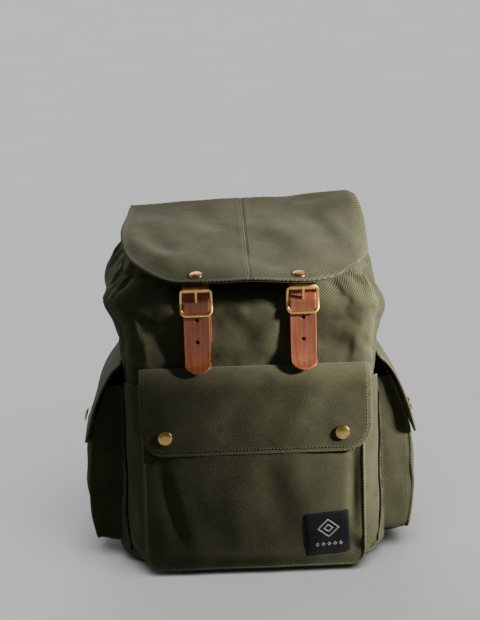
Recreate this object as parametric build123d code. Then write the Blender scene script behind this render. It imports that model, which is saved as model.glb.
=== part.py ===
from build123d import *
import os

# Canvas rucksack with a buckled lid, a flap pocket and two side pockets, in mm.
# X is to the viewer's right, the front faces -Y, +Z is up, the origin is under the body on the floor.

os.makedirs("parts", exist_ok=True)

# Cloth and leather
CLOTH = 2.5
LEATHER = 2.2
TAB_LEATHER = 1.5
GAP = 0.2

# Main body, outline by outline: height, centre y, tilt, width, depth, corner radius
BASE_THICK = 3
BODY_OUTLINES = (
    (3, 0, 0, 280, 164, 30),
    (16, 0, 0, 298, 172, 34),
    (232, 0, 0, 286, 172, 26),
    (318, 0, 4, 318, 172, 44),
    (345, 12, 14, 280, 152, 44),
)
NECK_OUTLINES = (BODY_OUTLINES[-1], (361, 14, 15, 262, 148, 42))
HEM_THICK = 4
CORNER_SEAM_X = 57
SEAM_REACH = 300
BODY_FRONT = -86
BODY_BACK = 86

# Drawstring eyelets in the neck hem
EYELET_HOLE_R = 3
EYELET_BARREL_R = 3.6
EYELET_FLANGE_R = 5.2
EYELET_RAISE = 3.2
EYELET_FLANGE = 0.8

# Front pocket, in a frame that lies in its front panel
POCKET_LEAN = 4.1
POCKET_FRAME = Pos(0, -119.5, 8) * Rot(-POCKET_LEAN, 0, 0)
POCKET_HALF = 122
POCKET_HEIGHT = 210
POCKET_CORNER_R = 16
POCKET_FOOT_HALF = 141
POCKET_FOOT_BOTTOM = 13
POCKET_FOOT_TOP = 218
POCKET_FOOT_CORNER_R = 24
FLAP_GAP = 3.6

# Front flap
FLAP_THICK = 3
FLAP_HALF = 131.5
FLAP_HINGE = (-88.8, 232)
FLAP_BOTTOM = 132
FLAP_FOLD = 216
FLAP_CORNER_R = 31

# Press studs
SNAP_X = 99
SNAP_HEIGHT = 153.4
CAP_R = 8.5
CAP_HEIGHT = 2.4
CAP_EDGE = 1.6
STUD_BASE_R = 5
STUD_BASE = 0.7
STUD_POST_R = 1.9
SOCKET_R = 5.5
SOCKET_HOLE_R = 2.6
SHANK_R = 2
SHANK_HOLE_R = 2.1

# Side pockets, in a frame that lies on the side wall
SIDE_LEAN = 1.6
SIDE_FRAME = Pos(149.3, 0, 16) * Rot(0, -SIDE_LEAN, 0)
SIDE_HALF = 54
SIDE_RIM = (15, 190)
SIDE_TOP = (30, 146)
SIDE_BULGE = (40, 75)
SIDE_BOTTOM = (31, 6)
SIDE_FOOT = 4
SIDE_FLOOR = 7.5
SIDE_FLAP_HALF = 65
SIDE_FLAP_HINGE = (2.9, 217)
SIDE_FLAP_TOP = (4.6, 215.6)
SIDE_FLAP_BEND = (27, 178)
SIDE_FLAP_TIP = (43.5, 122)
SIDE_FLAP_CORNER_R = 20
SIDE_SNAP_AT = 0.13
SIDE_SNAP_GAP = 5.3

# Woven patch on the pocket
PATCH_SIZE = 48
PATCH_THICK = 0.8
PATCH_X = 79.5
PATCH_HEIGHT = 36

# Lid, in a frame with its hinge as the X axis
LID_SLOPE = 15
HINGE_Y = 88.5
HINGE_Z = 388
LID_FRAME = Pos(0, HINGE_Y, HINGE_Z) * Rot(LID_SLOPE, 0, 0)
LID_LENGTH = 208
LID_BACK_HALF = 131
LID_HALF = 140
LID_FRONT_R = 88
LID_BACK_R = 10
LID_START = 0.5
LINING_BOTTOM = 1.5
LINING_TOP = 2.6
LID_BOTTOM = 2.7
LID_TOP = 4.6
PIPING_R = 1.1
BAND_HALF = 128
BAND_BOTTOM = 362
BAND_TOP = 386

# Closing straps and roller buckles
STRAP_X = 59
STRAP_WIDTH = 30
STRAP_START = 168
RIVET_BACK = 190
RIVET_HEAD_R = 7.5
RIVET_HEAD = 2.2
BURR_R = 4
BAR_Y = -89.5
BAR_Z = 309
BAR_R = 1.5
BAR_PITCH = 14.7
BAR_OUT = 5.3
RAIL_X = 17.3
RAIL_R = 1.5
ROLLER_R = 3.2
ROLLER_BORE_R = 1.65
ROLLER_HALF = 14.2
PRONG_R = 1.2
PRONG_RING_R = 3.3
PRONG_BORE_R = 1.7
PRONG_ROOT = (3.2, 0.6)
PRONG_TIP = (11, 16)
STRAP_BEHIND_ROLLER = -0.2
STRAP_OVER_BAR = 4.6
STRAP_BEHIND_FOOT = 2.1
STRAP_TURN_BACK = 200
STRAP_DROP = (-88.5, 331)
STRAP_BENDS = (2, 2, 3, 3)
TAIL_TOP = 292
TAIL_BOTTOM = 235
TAIL_TIP_R = 14.5
HOLE_R = 2.3
TAIL_HOLES = (286.4, 262)
TAB_WIDTH = 29
TAB_BOTTOM = 262
TAB_LOOP_R = 3.1
TAB_SLOT = 5.2
TAB_RIVET_Z = (300, 270)
TAB_RIVET_R = 3.6
TAB_RIVET_HEAD = 0.7

# Shoulder straps, grab handle and lower webbing on the back
YOKE_HALF = 106
YOKE_BOTTOM = 334
YOKE_TOP = 360
YOKE_THICK = 2
SHOULDER_X = 70
SHOULDER_SPLAY = 5
SHOULDER_TOP = (91, 346)
SHOULDER_BEND = (118, 262)
SHOULDER_END = (109, 176)
SHOULDER_THICK = 11
SHOULDER_TOP_HALF = 30
SHOULDER_END_HALF = 25
SHOULDER_PIVOT = (91, 349)
LOOP_WIDTH = 25
LOOP_DROP = 5
ADJUSTER_DROP = 22
WEB_CLEARANCE = 4
ADJUSTER_WIDTH = 36
ADJUSTER_HEIGHT = 24
ADJUSTER_R = 1.5
WEB_THICK = 1.6
LOWER_TAB_X = 122
LOWER_TAB_Z = 36
LOWER_TAB_SIZE = 34
HANDLE_X = 27
HANDLE_R = 4.5
HANDLE_BEND_R = 20
HANDLE_RISE = 30
HANDLE_DROOP = 60
HANDLE_Y = 94.2
HANDLE_Z = 361
ANCHOR_R = 4.6
ANCHOR_HALF = 7


def put(name, shape):
    export_step(shape, f"parts/{name}.step")


def put_pair(name, right_shape):
    put("right_" + name, right_shape)
    put("left_" + name, mirror(right_shape, about=Plane.YZ))


def group(shapes):
    return Compound(children=list(shapes))


def both_sides(shape):
    return [shape, mirror(shape, about=Plane.YZ)]


def block(low, high):
    size = [b - a for a, b in zip(low, high)]
    middle = [(a + b) / 2 for a, b in zip(low, high)]
    return Pos(*middle) * Box(*size)


def rod_x(x0, x1, y, z, radius):
    return Pos((x0 + x1) / 2, y, z) * Rot(0, 90, 0) * Cylinder(radius, x1 - x0)


def disc_y(x, z, y0, y1, radius):
    return Pos(x, (y0 + y1) / 2, z) * Rot(90, 0, 0) * Cylinder(radius, abs(y1 - y0))


def band(line, thickness, half_width, side=Side.RIGHT):
    face = make_face(offset(line, amount=thickness, side=side))
    return extrude(Plane.YZ * face, half_width, both=True)


def outlines_loft(outlines, inset=0.0, bottom=None):
    faces = []
    for height, centre_y, tilt, width, depth, radius in outlines:
        outline = RectangleRounded(width - 2 * inset, depth - 2 * inset, radius - inset)
        faces.append(Pos(0, centre_y, height) * Rot(tilt, 0, 0) * outline)
    if bottom is not None:
        faces[0] = Pos(0, 0, bottom - outlines[0][0]) * faces[0]
    return loft(faces, ruled=True)


def seam_wedge(*corners):
    return extrude(make_face(Polyline(*corners, close=True)), 2 * SEAM_REACH)


# ---------------------------------------------------------------- main compartment
def body_panels():
    shell = outlines_loft(BODY_OUTLINES) - outlines_loft(BODY_OUTLINES, CLOTH)
    near = CORNER_SEAM_X
    far = CORNER_SEAM_X + SEAM_REACH
    front = seam_wedge((-near, 0), (-far, -SEAM_REACH), (far, -SEAM_REACH), (near, 0))
    right = seam_wedge((near, 0), (far, -SEAM_REACH), (far, SEAM_REACH))
    front_wall = shell & front
    put("front_panel", front_wall)
    put("back_panel", shell & mirror(front, about=Plane.XZ))
    put("right_side_panel", shell & right)
    put("left_side_panel", shell & mirror(right, about=Plane.YZ))
    height, _, _, width, depth, radius = BODY_OUTLINES[0]
    put("base_panel", extrude(RectangleRounded(width, depth, radius), height - GAP / 2))


def eyelet_spots(hem):
    spots = []
    rows = ((Axis.Y, 0, (-72, -24, 24, 72)), (Axis.X, 0, (-22, 22)), (Axis.X, -1, (-22, 22)))
    for axis, place, offsets in rows:
        face = hem.faces().sort_by(axis)[place]
        normal = face.normal_at(face.center())
        along = Vector(0, 0, 1).cross(normal)
        plane = Plane(origin=face.center(), x_dir=along, z_dir=normal)
        spots += [plane * Pos(shift, EYELET_RAISE, 0) for shift in offsets]
    return spots


def eyelet():
    depth = HEM_THICK + 2 * GAP
    barrel = Pos(0, 0, -HEM_THICK / 2) * Cylinder(EYELET_BARREL_R, depth)
    outer = Pos(0, 0, GAP + EYELET_FLANGE / 2) * Cylinder(EYELET_FLANGE_R, EYELET_FLANGE)
    inner = Pos(0, 0, -HEM_THICK - GAP - EYELET_FLANGE / 2) * Cylinder(EYELET_FLANGE_R, EYELET_FLANGE)
    return barrel + outer + inner - Cylinder(EYELET_HOLE_R, 4 * HEM_THICK)


def neck():
    hem = outlines_loft(NECK_OUTLINES) - outlines_loft(NECK_OUTLINES, HEM_THICK)
    spots = eyelet_spots(hem)
    for spot in spots:
        hem -= spot * Cylinder(EYELET_BARREL_R + GAP, 4 * HEM_THICK)
    put("neck_hem", hem)
    put("drawstring_eyelets", group(spot * eyelet() for spot in spots))


def lining():
    outer = outlines_loft(BODY_OUTLINES, CLOTH + GAP)
    inner = outlines_loft(BODY_OUTLINES, CLOTH + GAP + 1)
    floor_height = BODY_OUTLINES[0][0] + 1
    floor = block((-LID_HALF, BODY_FRONT, 0), (LID_HALF, BODY_BACK, floor_height))
    put("lining", outer - (inner - floor))


# ---------------------------------------------------------------- press studs
def cap_with_shank(reach):
    cap = Pos(0, 0, CAP_HEIGHT / 2) * Cylinder(CAP_R, CAP_HEIGHT)
    cap = fillet(cap.edges().group_by(Axis.Z)[-1], CAP_EDGE)
    shank = Pos(0, 0, -reach / 2) * Cylinder(SHANK_R, reach)
    return cap + shank


def stud(gap):
    base = Pos(0, 0, STUD_BASE / 2) * Cylinder(STUD_BASE_R, STUD_BASE)
    height = gap - 2 * GAP
    return base + Pos(0, 0, height / 2) * Cylinder(STUD_POST_R, height)


def socket(gap):
    depth = gap - STUD_BASE - 3 * GAP
    return Pos(0, 0, -depth / 2) * (Cylinder(SOCKET_R, depth) - Cylinder(SOCKET_HOLE_R, depth))


# ---------------------------------------------------------------- front pocket and its flap
def foot_outline(half_width, bottom, top, radius):
    outline = Pos(0, (bottom + top) / 2) * Rectangle(2 * half_width, top - bottom)
    return fillet(outline.vertices().group_by(Axis.Y)[0], radius)


def gusset_loft(inset, extra_height):
    foot_y = Pos(0, BODY_FRONT - GAP, 0)
    low = POCKET_FOOT_BOTTOM + inset
    top = POCKET_FOOT_TOP + extra_height
    at_body = foot_outline(POCKET_FOOT_HALF - inset, low, top, POCKET_FOOT_CORNER_R - inset)
    low = inset
    top = POCKET_HEIGHT + extra_height
    at_front = foot_outline(POCKET_HALF - inset, low, top, POCKET_CORNER_R - inset)
    return loft([POCKET_FRAME * (Plane.XZ * at_front), foot_y * (Plane.XZ * at_body)], ruled=True)


def on_pocket(x, height, out):
    return POCKET_FRAME * Pos(x, -out, height) * Rot(90, 0, 0)


def front_pocket():
    outline = foot_outline(POCKET_HALF, 0, POCKET_HEIGHT, POCKET_CORNER_R)
    put("front_pocket_panel", POCKET_FRAME * extrude(Plane.XZ * outline, CLOTH))
    put("front_pocket_gusset", gusset_loft(0, 0) - gusset_loft(CLOTH, POCKET_CORNER_R))
    studs = [on_pocket(x, SNAP_HEIGHT, CLOTH + GAP / 2) * stud(FLAP_GAP) for x in (-SNAP_X, SNAP_X)]
    put("front_snap_studs", group(studs))
    patch = Box(PATCH_SIZE, PATCH_SIZE, PATCH_THICK)
    patch = fillet(patch.edges().filter_by(Axis.Z), 2)
    put("label_patch", on_pocket(PATCH_X, PATCH_HEIGHT, CLOTH + GAP / 2 + PATCH_THICK / 2) * patch)


def flap_line():
    lean = (FLAP_FOLD - FLAP_BOTTOM) * 0.0717
    inner_y = -CLOTH - FLAP_GAP
    corner = POCKET_FRAME * Pos(0, inner_y, FLAP_FOLD)
    tip = POCKET_FRAME * Pos(0, inner_y, FLAP_BOTTOM)
    start = (FLAP_HINGE[0] - 1.4, FLAP_HINGE[1] - FLAP_THICK / 2)
    fold = (corner.position.Y, corner.position.Z)
    end = (tip.position.Y, tip.position.Z)
    return FilletPolyline(start, fold, end, radius=6)


def front_flap():
    sheet = band(flap_line(), FLAP_THICK, FLAP_HALF)
    box_top = 2 * POCKET_HEIGHT
    outline = foot_outline(FLAP_HALF, FLAP_BOTTOM, box_top, FLAP_CORNER_R)
    prism = extrude(Plane.XZ * outline, 2 * POCKET_HEIGHT, both=True)
    sheet = sheet & (POCKET_FRAME * prism)
    caps = []
    sockets = []
    back = CLOTH + FLAP_GAP
    for x in (-SNAP_X, SNAP_X):
        sheet -= on_pocket(x, SNAP_HEIGHT, back) * Cylinder(SHANK_HOLE_R, 4 * FLAP_THICK)
        front_face = on_pocket(x, SNAP_HEIGHT, back + FLAP_THICK + GAP / 2)
        caps.append(front_face * cap_with_shank(FLAP_THICK))
        sockets.append(on_pocket(x, SNAP_HEIGHT, back - GAP / 2) * socket(FLAP_GAP))
    put("front_flap", sheet)
    put("front_snap_caps", group(caps))
    put("front_snap_sockets", group(sockets))


# ---------------------------------------------------------------- side pockets and their flaps
def shifted(point, by):
    return (point[0] + by, point[1])


def side_band(line, thickness, half_width):
    face = make_face(offset(line, amount=thickness, side=Side.RIGHT))
    return extrude(Plane.XZ * face, half_width, both=True)


def side_pocket():
    line = Line(SIDE_RIM, SIDE_TOP) + ThreePointArc(SIDE_TOP, SIDE_BULGE, SIDE_BOTTOM)
    put_pair("side_pocket_panel", SIDE_FRAME * side_band(line, CLOTH, SIDE_HALF))
    rim, *points = [shifted(p, -CLOTH - GAP) for p in (SIDE_RIM, SIDE_TOP, SIDE_BULGE, SIDE_BOTTOM)]
    edge = ThreePointArc(*points)
    edge += Polyline(points[2], (0, SIDE_FOOT), (0, rim[1]), rim, points[0])
    wall = Plane.XZ * make_face(edge)
    hollow = extrude(wall, SIDE_HALF - CLOTH, both=True)
    hollow &= block((-1, -SIDE_HALF, SIDE_FLOOR), (SIDE_BULGE[0], SIDE_HALF, SIDE_RIM[1] + 1))
    put_pair("side_pocket_gusset", SIDE_FRAME * (extrude(wall, SIDE_HALF, both=True) - hollow))


def side_flap_line():
    return ThreePointArc(SIDE_FLAP_TIP, SIDE_FLAP_BEND, SIDE_FLAP_TOP)


def on_side_flap(out):
    # A frame on the press stud's axis, its Z pointing outwards; out is measured from the flap's back face.
    line = side_flap_line()
    spot = line @ SIDE_SNAP_AT
    along = line % SIDE_SNAP_AT
    plane = Plane(origin=(spot.X, 0, spot.Y), x_dir=(0, 1, 0), z_dir=(along.Y, 0, -along.X))
    return SIDE_FRAME * plane.location * Pos(0, 0, out)


def side_flap():
    sheet = side_band(side_flap_line(), FLAP_THICK, SIDE_FLAP_HALF)
    outline = Rectangle(2 * SIDE_FLAP_HALF, 2 * SIDE_TOP[1])
    outline = fillet(outline.vertices().group_by(Axis.Y)[0], SIDE_FLAP_CORNER_R)
    outline = Pos(0, SIDE_FLAP_TIP[1] + SIDE_TOP[1]) * outline
    prism = extrude(Plane.YZ * outline, 2 * SIDE_BULGE[0], both=True)
    sheet &= prism
    sheet = SIDE_FRAME * sheet
    sheet -= on_side_flap(0) * Cylinder(SHANK_HOLE_R, 6 * FLAP_THICK)
    put_pair("side_flap", sheet)
    put_pair("side_snap_cap", on_side_flap(FLAP_THICK + 2 * GAP) * cap_with_shank(FLAP_THICK))
    put_pair("side_snap_socket", on_side_flap(-GAP) * socket(SIDE_SNAP_GAP))
    seat = on_side_flap(-SIDE_SNAP_GAP - GAP) * stud(SIDE_SNAP_GAP)
    put("side_snap_studs", group(both_sides(seat)))


# ---------------------------------------------------------------- lid
def lid_outline():
    bend = (LID_HALF, -LID_LENGTH + LID_FRONT_R)
    front = (LID_HALF - LID_FRONT_R, -LID_LENGTH)
    middle = (LID_HALF - LID_FRONT_R, -LID_LENGTH + LID_FRONT_R)
    arc = CenterArc(middle, LID_FRONT_R, -90, 90)
    edge = Polyline(bend, (LID_BACK_HALF, -LID_START), (0, -LID_START), (0, -LID_LENGTH), front)
    half = make_face(edge + arc)
    corner = half.vertices().sort_by_distance((LID_BACK_HALF, -LID_START, 0))[0]
    return fillet(corner, LID_BACK_R)


def lid_sheet(outline, low, high):
    return LID_FRAME * Pos(0, 0, low) * extrude(outline, high - low)


def lid_hole(x):
    return LID_FRAME * Pos(x, -RIVET_BACK, 0) * Cylinder(SHANK_HOLE_R, 8 * LEATHER)


def strap_line():
    at_rivet = LID_FRAME * Pos(0, -STRAP_START, LINING_BOTTOM - GAP)
    turn = LID_FRAME * Pos(0, -STRAP_TURN_BACK, LINING_BOTTOM - GAP)
    half = LEATHER / 2
    back = -half
    roller = (BAR_Y - STRAP_BEHIND_ROLLER - back, BAR_Z + BAR_PITCH)
    centre = (BAR_Y - STRAP_OVER_BAR - back, BAR_Z)
    foot = (BAR_Y - STRAP_BEHIND_FOOT - back, TAIL_TOP + 3 * GAP)
    start = (at_rivet.position.Y, at_rivet.position.Z - LEATHER)
    fold = (turn.position.Y, turn.position.Z - LEATHER)
    return FilletPolyline(start, fold, STRAP_DROP, roller, centre, foot, radius=STRAP_BENDS)


def lid_strap():
    strap = Pos(STRAP_X, 0, 0) * band(strap_line(), LEATHER, STRAP_WIDTH / 2)
    strap -= prong_shape(PRONG_R + 2 * GAP)
    return strap - lid_hole(STRAP_X)


def strap_tail():
    half = STRAP_WIDTH / 2
    outline = Pos(0, (TAIL_TOP + TAIL_BOTTOM) / 2) * Rectangle(STRAP_WIDTH, TAIL_TOP - TAIL_BOTTOM)
    outline = fillet(outline.vertices().group_by(Axis.Y)[0], TAIL_TIP_R)
    front_y = BAR_Y - STRAP_BEHIND_FOOT - LEATHER / 2
    tail = Pos(STRAP_X, front_y + LEATHER, 0) * extrude(Plane.XZ * outline, LEATHER)
    for height in TAIL_HOLES:
        tail -= disc_y(STRAP_X, height, front_y - half, front_y + half, HOLE_R)
    return tail


def lid_rivet(x):
    head = Pos(0, 0, RIVET_HEAD / 2) * Cylinder(RIVET_HEAD_R, RIVET_HEAD)
    head = fillet(head.edges().group_by(Axis.Z)[-1], CAP_EDGE)
    strap_back = LINING_BOTTOM - GAP - LEATHER
    depth = LID_TOP - strap_back + 2 * GAP
    shank = Pos(0, 0, -depth / 2) * Cylinder(SHANK_R, depth)
    burr = Pos(0, 0, -depth - STUD_BASE / 2) * Cylinder(BURR_R, STUD_BASE)
    return LID_FRAME * Pos(x, -RIVET_BACK, LID_TOP + GAP / 2) * (head + shank + burr)


def lid():
    half = lid_outline()
    right = lid_sheet(half, LID_BOTTOM, LID_TOP) - lid_hole(STRAP_X)
    put("lid_right_panel", right)
    put("lid_left_panel", mirror(right, about=Plane.YZ))
    inner = lid_sheet(half, LINING_BOTTOM, LINING_TOP) - lid_hole(STRAP_X)
    put("lid_lining", inner + mirror(inner, about=Plane.YZ))
    put("lid_rivets", group(lid_rivet(x) for x in (-STRAP_X, STRAP_X)))
    put_pair("lid_strap", lid_strap())
    put_pair("strap_tail", strap_tail())
    put("lid_piping", rod_x(-LID_BACK_HALF, LID_BACK_HALF, HINGE_Y, HINGE_Z, PIPING_R))
    put("back_top_band", block((-BAND_HALF, BODY_BACK + GAP, BAND_BOTTOM), (BAND_HALF, BODY_BACK + 2, BAND_TOP)))


# ---------------------------------------------------------------- roller buckles
def at_bar(out, up):
    return (BAR_Y - out, BAR_Z + up)


def prong_shape(radius):
    root = Vector(STRAP_X, *at_bar(*PRONG_ROOT))
    tip = Vector(STRAP_X, *at_bar(*PRONG_TIP))
    path = Line(root, tip)
    length = (tip - root).length
    plane = Plane(origin=root, z_dir=tip - root)
    return plane * Pos(0, 0, length / 2) * Cylinder(radius, length)


def prong():
    half = TAB_SLOT / 2 - 2 * GAP
    y, z = at_bar(0, 0)
    ring = rod_x(STRAP_X - half, STRAP_X + half, y, z, PRONG_RING_R)
    tip = Pos(STRAP_X, *at_bar(*PRONG_TIP)) * Sphere(PRONG_R)
    solid = ring + prong_shape(PRONG_R) + tip
    return solid - rod_x(STRAP_X - half, STRAP_X + half, y, z, PRONG_BORE_R)


def buckle_rail():
    # A flat-sided bow through all three bars, centred on their axes.
    reach = BAR_PITCH + BAR_R
    front = BAR_R
    ends = (at_bar(BAR_OUT + front, -reach), at_bar(front, 0), at_bar(BAR_OUT + front, reach))
    arc = ThreePointArc(*ends)
    return Pos(STRAP_X + RAIL_X, 0, 0) * band(arc, 2 * RAIL_R, RAIL_R, side=Side.RIGHT)


def buckle():
    rail = buckle_rail()
    frame = rail + Pos(-2 * RAIL_X, 0, 0) * rail
    for out, up in ((0, 0), (BAR_OUT, BAR_PITCH), (BAR_OUT, -BAR_PITCH)):
        frame += rod_x(STRAP_X - RAIL_X, STRAP_X + RAIL_X, *at_bar(out, up), BAR_R)
    return frame


def roller():
    y, z = at_bar(BAR_OUT, BAR_PITCH)
    ends = (STRAP_X - ROLLER_HALF, STRAP_X + ROLLER_HALF)
    return rod_x(*ends, y, z, ROLLER_R) - rod_x(*ends, y, z, ROLLER_BORE_R)


def buckle_tab():
    half = TAB_WIDTH / 2
    ends = (STRAP_X - half, STRAP_X + half)
    back = BODY_FRONT - GAP
    front = BAR_Y + GAP / 2
    tab = block((ends[0], front, TAB_BOTTOM), (ends[1], back, BAR_Z))
    tab += rod_x(*ends, BAR_Y, BAR_Z, TAB_LOOP_R)
    tab -= rod_x(*ends, BAR_Y, BAR_Z, BAR_R + GAP)
    slot = TAB_SLOT / 2
    reach = TAB_LOOP_R + 2
    tab -= block((STRAP_X - slot, BAR_Y - reach, BAR_Z - reach), (STRAP_X + slot, back, BAR_Z + reach))
    for z in TAB_RIVET_Z:
        tab -= disc_y(STRAP_X, z, front - 1, back + 1, SHANK_R)
    return tab


def buckle_tab_rivets():
    front = BAR_Y - GAP / 2
    rivets = []
    for z in TAB_RIVET_Z:
        head = disc_y(STRAP_X, z, front - TAB_RIVET_HEAD, front, TAB_RIVET_R)
        rivets.append(head + disc_y(STRAP_X, z, front, BODY_FRONT - GAP, SHANK_R - GAP))
    return rivets


def buckles():
    put_pair("buckle_frame", buckle())
    put_pair("buckle_roller", roller())
    put_pair("buckle_prong", prong())
    put_pair("buckle_tab", buckle_tab())
    rivets = [copy for rivet in buckle_tab_rivets() for copy in both_sides(rivet)]
    put("buckle_tab_rivets", group(rivets))


# ---------------------------------------------------------------- carrying parts on the back
def splayed(shape):
    anchor = Pos(SHOULDER_X, 0, SHOULDER_PIVOT[1])
    return anchor * Rot(0, -SHOULDER_SPLAY, 0) * Pos(0, 0, -SHOULDER_PIVOT[1]) * shape


def shoulder_strap():
    arc = ThreePointArc(SHOULDER_TOP, SHOULDER_BEND, SHOULDER_END)
    pad = band(arc, SHOULDER_THICK, SHOULDER_TOP_HALF, side=Side.LEFT)
    top = SHOULDER_TOP[1]
    end = SHOULDER_END[1]
    half_top = SHOULDER_TOP_HALF
    half_end = SHOULDER_END_HALF
    far = 2
    taper = make_face(Polyline((-half_top, top + far), (half_top, top + far),
                               (half_end, end - far), (-half_end, end - far), close=True))
    taper = extrude(Plane.XZ * taper, SEAM_REACH, both=True)
    return splayed(pad & taper)


def adjuster_spot():
    return splayed(Pos(0, SHOULDER_END[0] + SHOULDER_THICK / 2, SHOULDER_END[1] - ADJUSTER_DROP))


def end_loop():
    # The webbing that leaves the pad and folds round the top bar of the adjuster.
    half = LOOP_WIDTH / 2
    y = SHOULDER_END[0] + SHOULDER_THICK / 2
    z = SHOULDER_END[1] - ADJUSTER_DROP + ADJUSTER_HEIGHT / 2
    inner_r = ADJUSTER_R + GAP
    outer_r = inner_r + WEB_THICK
    loop = rod_x(-half, half, y, z, outer_r)
    top = SHOULDER_END[1] - LOOP_DROP
    loop += block((-half, y - outer_r, z), (half, y + outer_r, top))
    loop -= rod_x(-half, half, y, z, inner_r)
    return splayed(loop)


def adjuster():
    half = ADJUSTER_WIDTH / 2 - ADJUSTER_R
    up = ADJUSTER_HEIGHT / 2
    frame = Part()
    for z in (-up, 0, up):
        frame += rod_x(-half, half, 0, z, ADJUSTER_R)
    for x in (-half, half):
        frame += Pos(x, 0, 0) * Cylinder(ADJUSTER_R, 2 * up)
        for z in (-up, up):
            frame += Pos(x, 0, z) * Sphere(ADJUSTER_R)
    return adjuster_spot() * frame


def lower_webbing():
    # A straight run from the base tab up to the adjuster's lower bar.
    spot = adjuster_spot() * Pos(0, 0, -ADJUSTER_HEIGHT / 2 - ADJUSTER_R - WEB_CLEARANCE)
    top = spot.position
    bottom = Vector(LOWER_TAB_X, BODY_BACK + 3.6, LOWER_TAB_Z + 6)
    direction = top - bottom
    across = Vector(direction.Z, 0, -direction.X)
    plane = Plane(origin=bottom, x_dir=across, z_dir=direction)
    length = direction.length
    return plane * Pos(0, 0, length / 2) * Box(LOOP_WIDTH, WEB_THICK, length)


def lower_tab():
    half = LOWER_TAB_SIZE / 2
    outline = make_face(Polyline((-half, -half), (half, -half), (half, half / 2), (0, half), close=True))
    place = Pos(LOWER_TAB_X - 4, BODY_BACK + GAP + 2, LOWER_TAB_Z)
    return place * extrude(Plane.XZ * outline, 2)


def handle():
    leg = ANCHOR_R + 1.2
    top = leg + HANDLE_RISE
    corners = ((-HANDLE_X, -leg), (-HANDLE_X, -top), (HANDLE_X, -top), (HANDLE_X, -leg))
    path = Plane.XZ * FilletPolyline(*corners, radius=HANDLE_BEND_R)
    profile = Plane(origin=path @ 0, z_dir=path % 0) * Circle(HANDLE_R)
    grip = sweep(profile, path=path)
    return Pos(0, HANDLE_Y, HANDLE_Z) * Rot(90 - HANDLE_DROOP, 0, 0) * grip


def back_fittings():
    low = (-YOKE_HALF, BODY_BACK + GAP, YOKE_BOTTOM)
    put("strap_yoke", block(low, (YOKE_HALF, BODY_BACK + YOKE_THICK, YOKE_TOP)))
    anchor = rod_x(HANDLE_X - ANCHOR_HALF, HANDLE_X + ANCHOR_HALF, HANDLE_Y, HANDLE_Z, ANCHOR_R)
    keep = block((0, BODY_BACK + 2 + GAP, 0), (YOKE_HALF, SEAM_REACH, 2 * HINGE_Z))
    put("handle_anchors", group(both_sides(anchor & keep)))
    put("grab_handle", handle())
    put_pair("shoulder_pad", shoulder_strap())
    put_pair("strap_end_loop", end_loop())
    put_pair("adjuster", adjuster())
    put_pair("lower_webbing", lower_webbing())
    put_pair("lower_strap_tab", lower_tab())


body_panels()
neck()
lining()
front_pocket()
front_flap()
side_pocket()
side_flap()
lid()
buckles()
back_fittings()
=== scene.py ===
import math

import bpy
import numpy as np
from mathutils import Matrix, Vector


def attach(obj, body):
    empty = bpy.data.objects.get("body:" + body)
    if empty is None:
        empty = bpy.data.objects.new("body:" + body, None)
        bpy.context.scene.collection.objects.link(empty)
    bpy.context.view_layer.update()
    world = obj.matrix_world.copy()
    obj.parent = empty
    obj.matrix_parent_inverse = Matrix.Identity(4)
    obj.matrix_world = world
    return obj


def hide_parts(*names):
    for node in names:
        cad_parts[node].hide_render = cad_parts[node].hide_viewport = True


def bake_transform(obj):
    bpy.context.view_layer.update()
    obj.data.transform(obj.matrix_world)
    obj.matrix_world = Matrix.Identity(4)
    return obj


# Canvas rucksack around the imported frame. Lengths are in mm until a mesh is made, X right, front at -Y.

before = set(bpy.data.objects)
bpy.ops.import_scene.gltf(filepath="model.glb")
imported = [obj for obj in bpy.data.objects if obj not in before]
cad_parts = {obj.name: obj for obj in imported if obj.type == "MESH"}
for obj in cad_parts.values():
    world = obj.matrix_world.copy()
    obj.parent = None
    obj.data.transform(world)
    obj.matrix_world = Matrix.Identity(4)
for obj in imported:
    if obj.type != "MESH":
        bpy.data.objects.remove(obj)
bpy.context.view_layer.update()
scene = bpy.context.scene
MM = 0.001
BOTH_SIDES = ((-1, "left"), (1, "right"))


# ---------------------------------------------------------------- grids
def unit(v):
    return v / np.maximum(np.linalg.norm(v, axis=-1, keepdims=True), 1e-9)


def grid(*parts):
    return np.stack(np.broadcast_arrays(*parts), -1)


def distances(P):
    """How far each point of a path lies from its start, along it."""
    return np.concatenate([[0], np.cumsum(np.linalg.norm(np.diff(P, axis=0), axis=1))])


def line_normals(points):
    """Left-hand normals of a flat line."""
    d = np.gradient(points, axis=0)
    return unit(np.stack([-d[:, 1], d[:, 0]], 1))


def resample(points, count):
    at, old = np.linspace(0, 1, count), np.linspace(0, 1, len(points))
    return np.stack([np.interp(at, old, points[:, k]) for k in (0, 1)], 1)


def grid_normals(P, closed=False):
    if closed:
        du = np.roll(P, -1, 0) - np.roll(P, 1, 0)
    else:
        du = np.gradient(P, axis=0)
    return unit(np.cross(du, np.gradient(P, axis=1)))


def refine(P, k, closed=False):
    """Finer grid through the same points, k cells for each old one both ways."""
    for wrap in (closed, False):
        n = len(P)
        count = n * k if wrap else (n - 1) * k + 1
        t = np.arange(count) / k
        i = np.minimum(t.astype(int), n - 1 if wrap else n - 2)
        f = (t - i).reshape((-1,) + (1,) * (P.ndim - 1))
        a, b, c, d = (P[(i + o) % n if wrap else np.clip(i + o, 0, n - 1)] for o in (-1, 0, 1, 2))
        P = 0.5 * (2 * b + (c - a) * f + (2 * a - 5 * b + 4 * c - d) * f**2 + (3 * b - a - 3 * c + d) * f**3)
        P = np.swapaxes(P, 0, 1)
    return P


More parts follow.
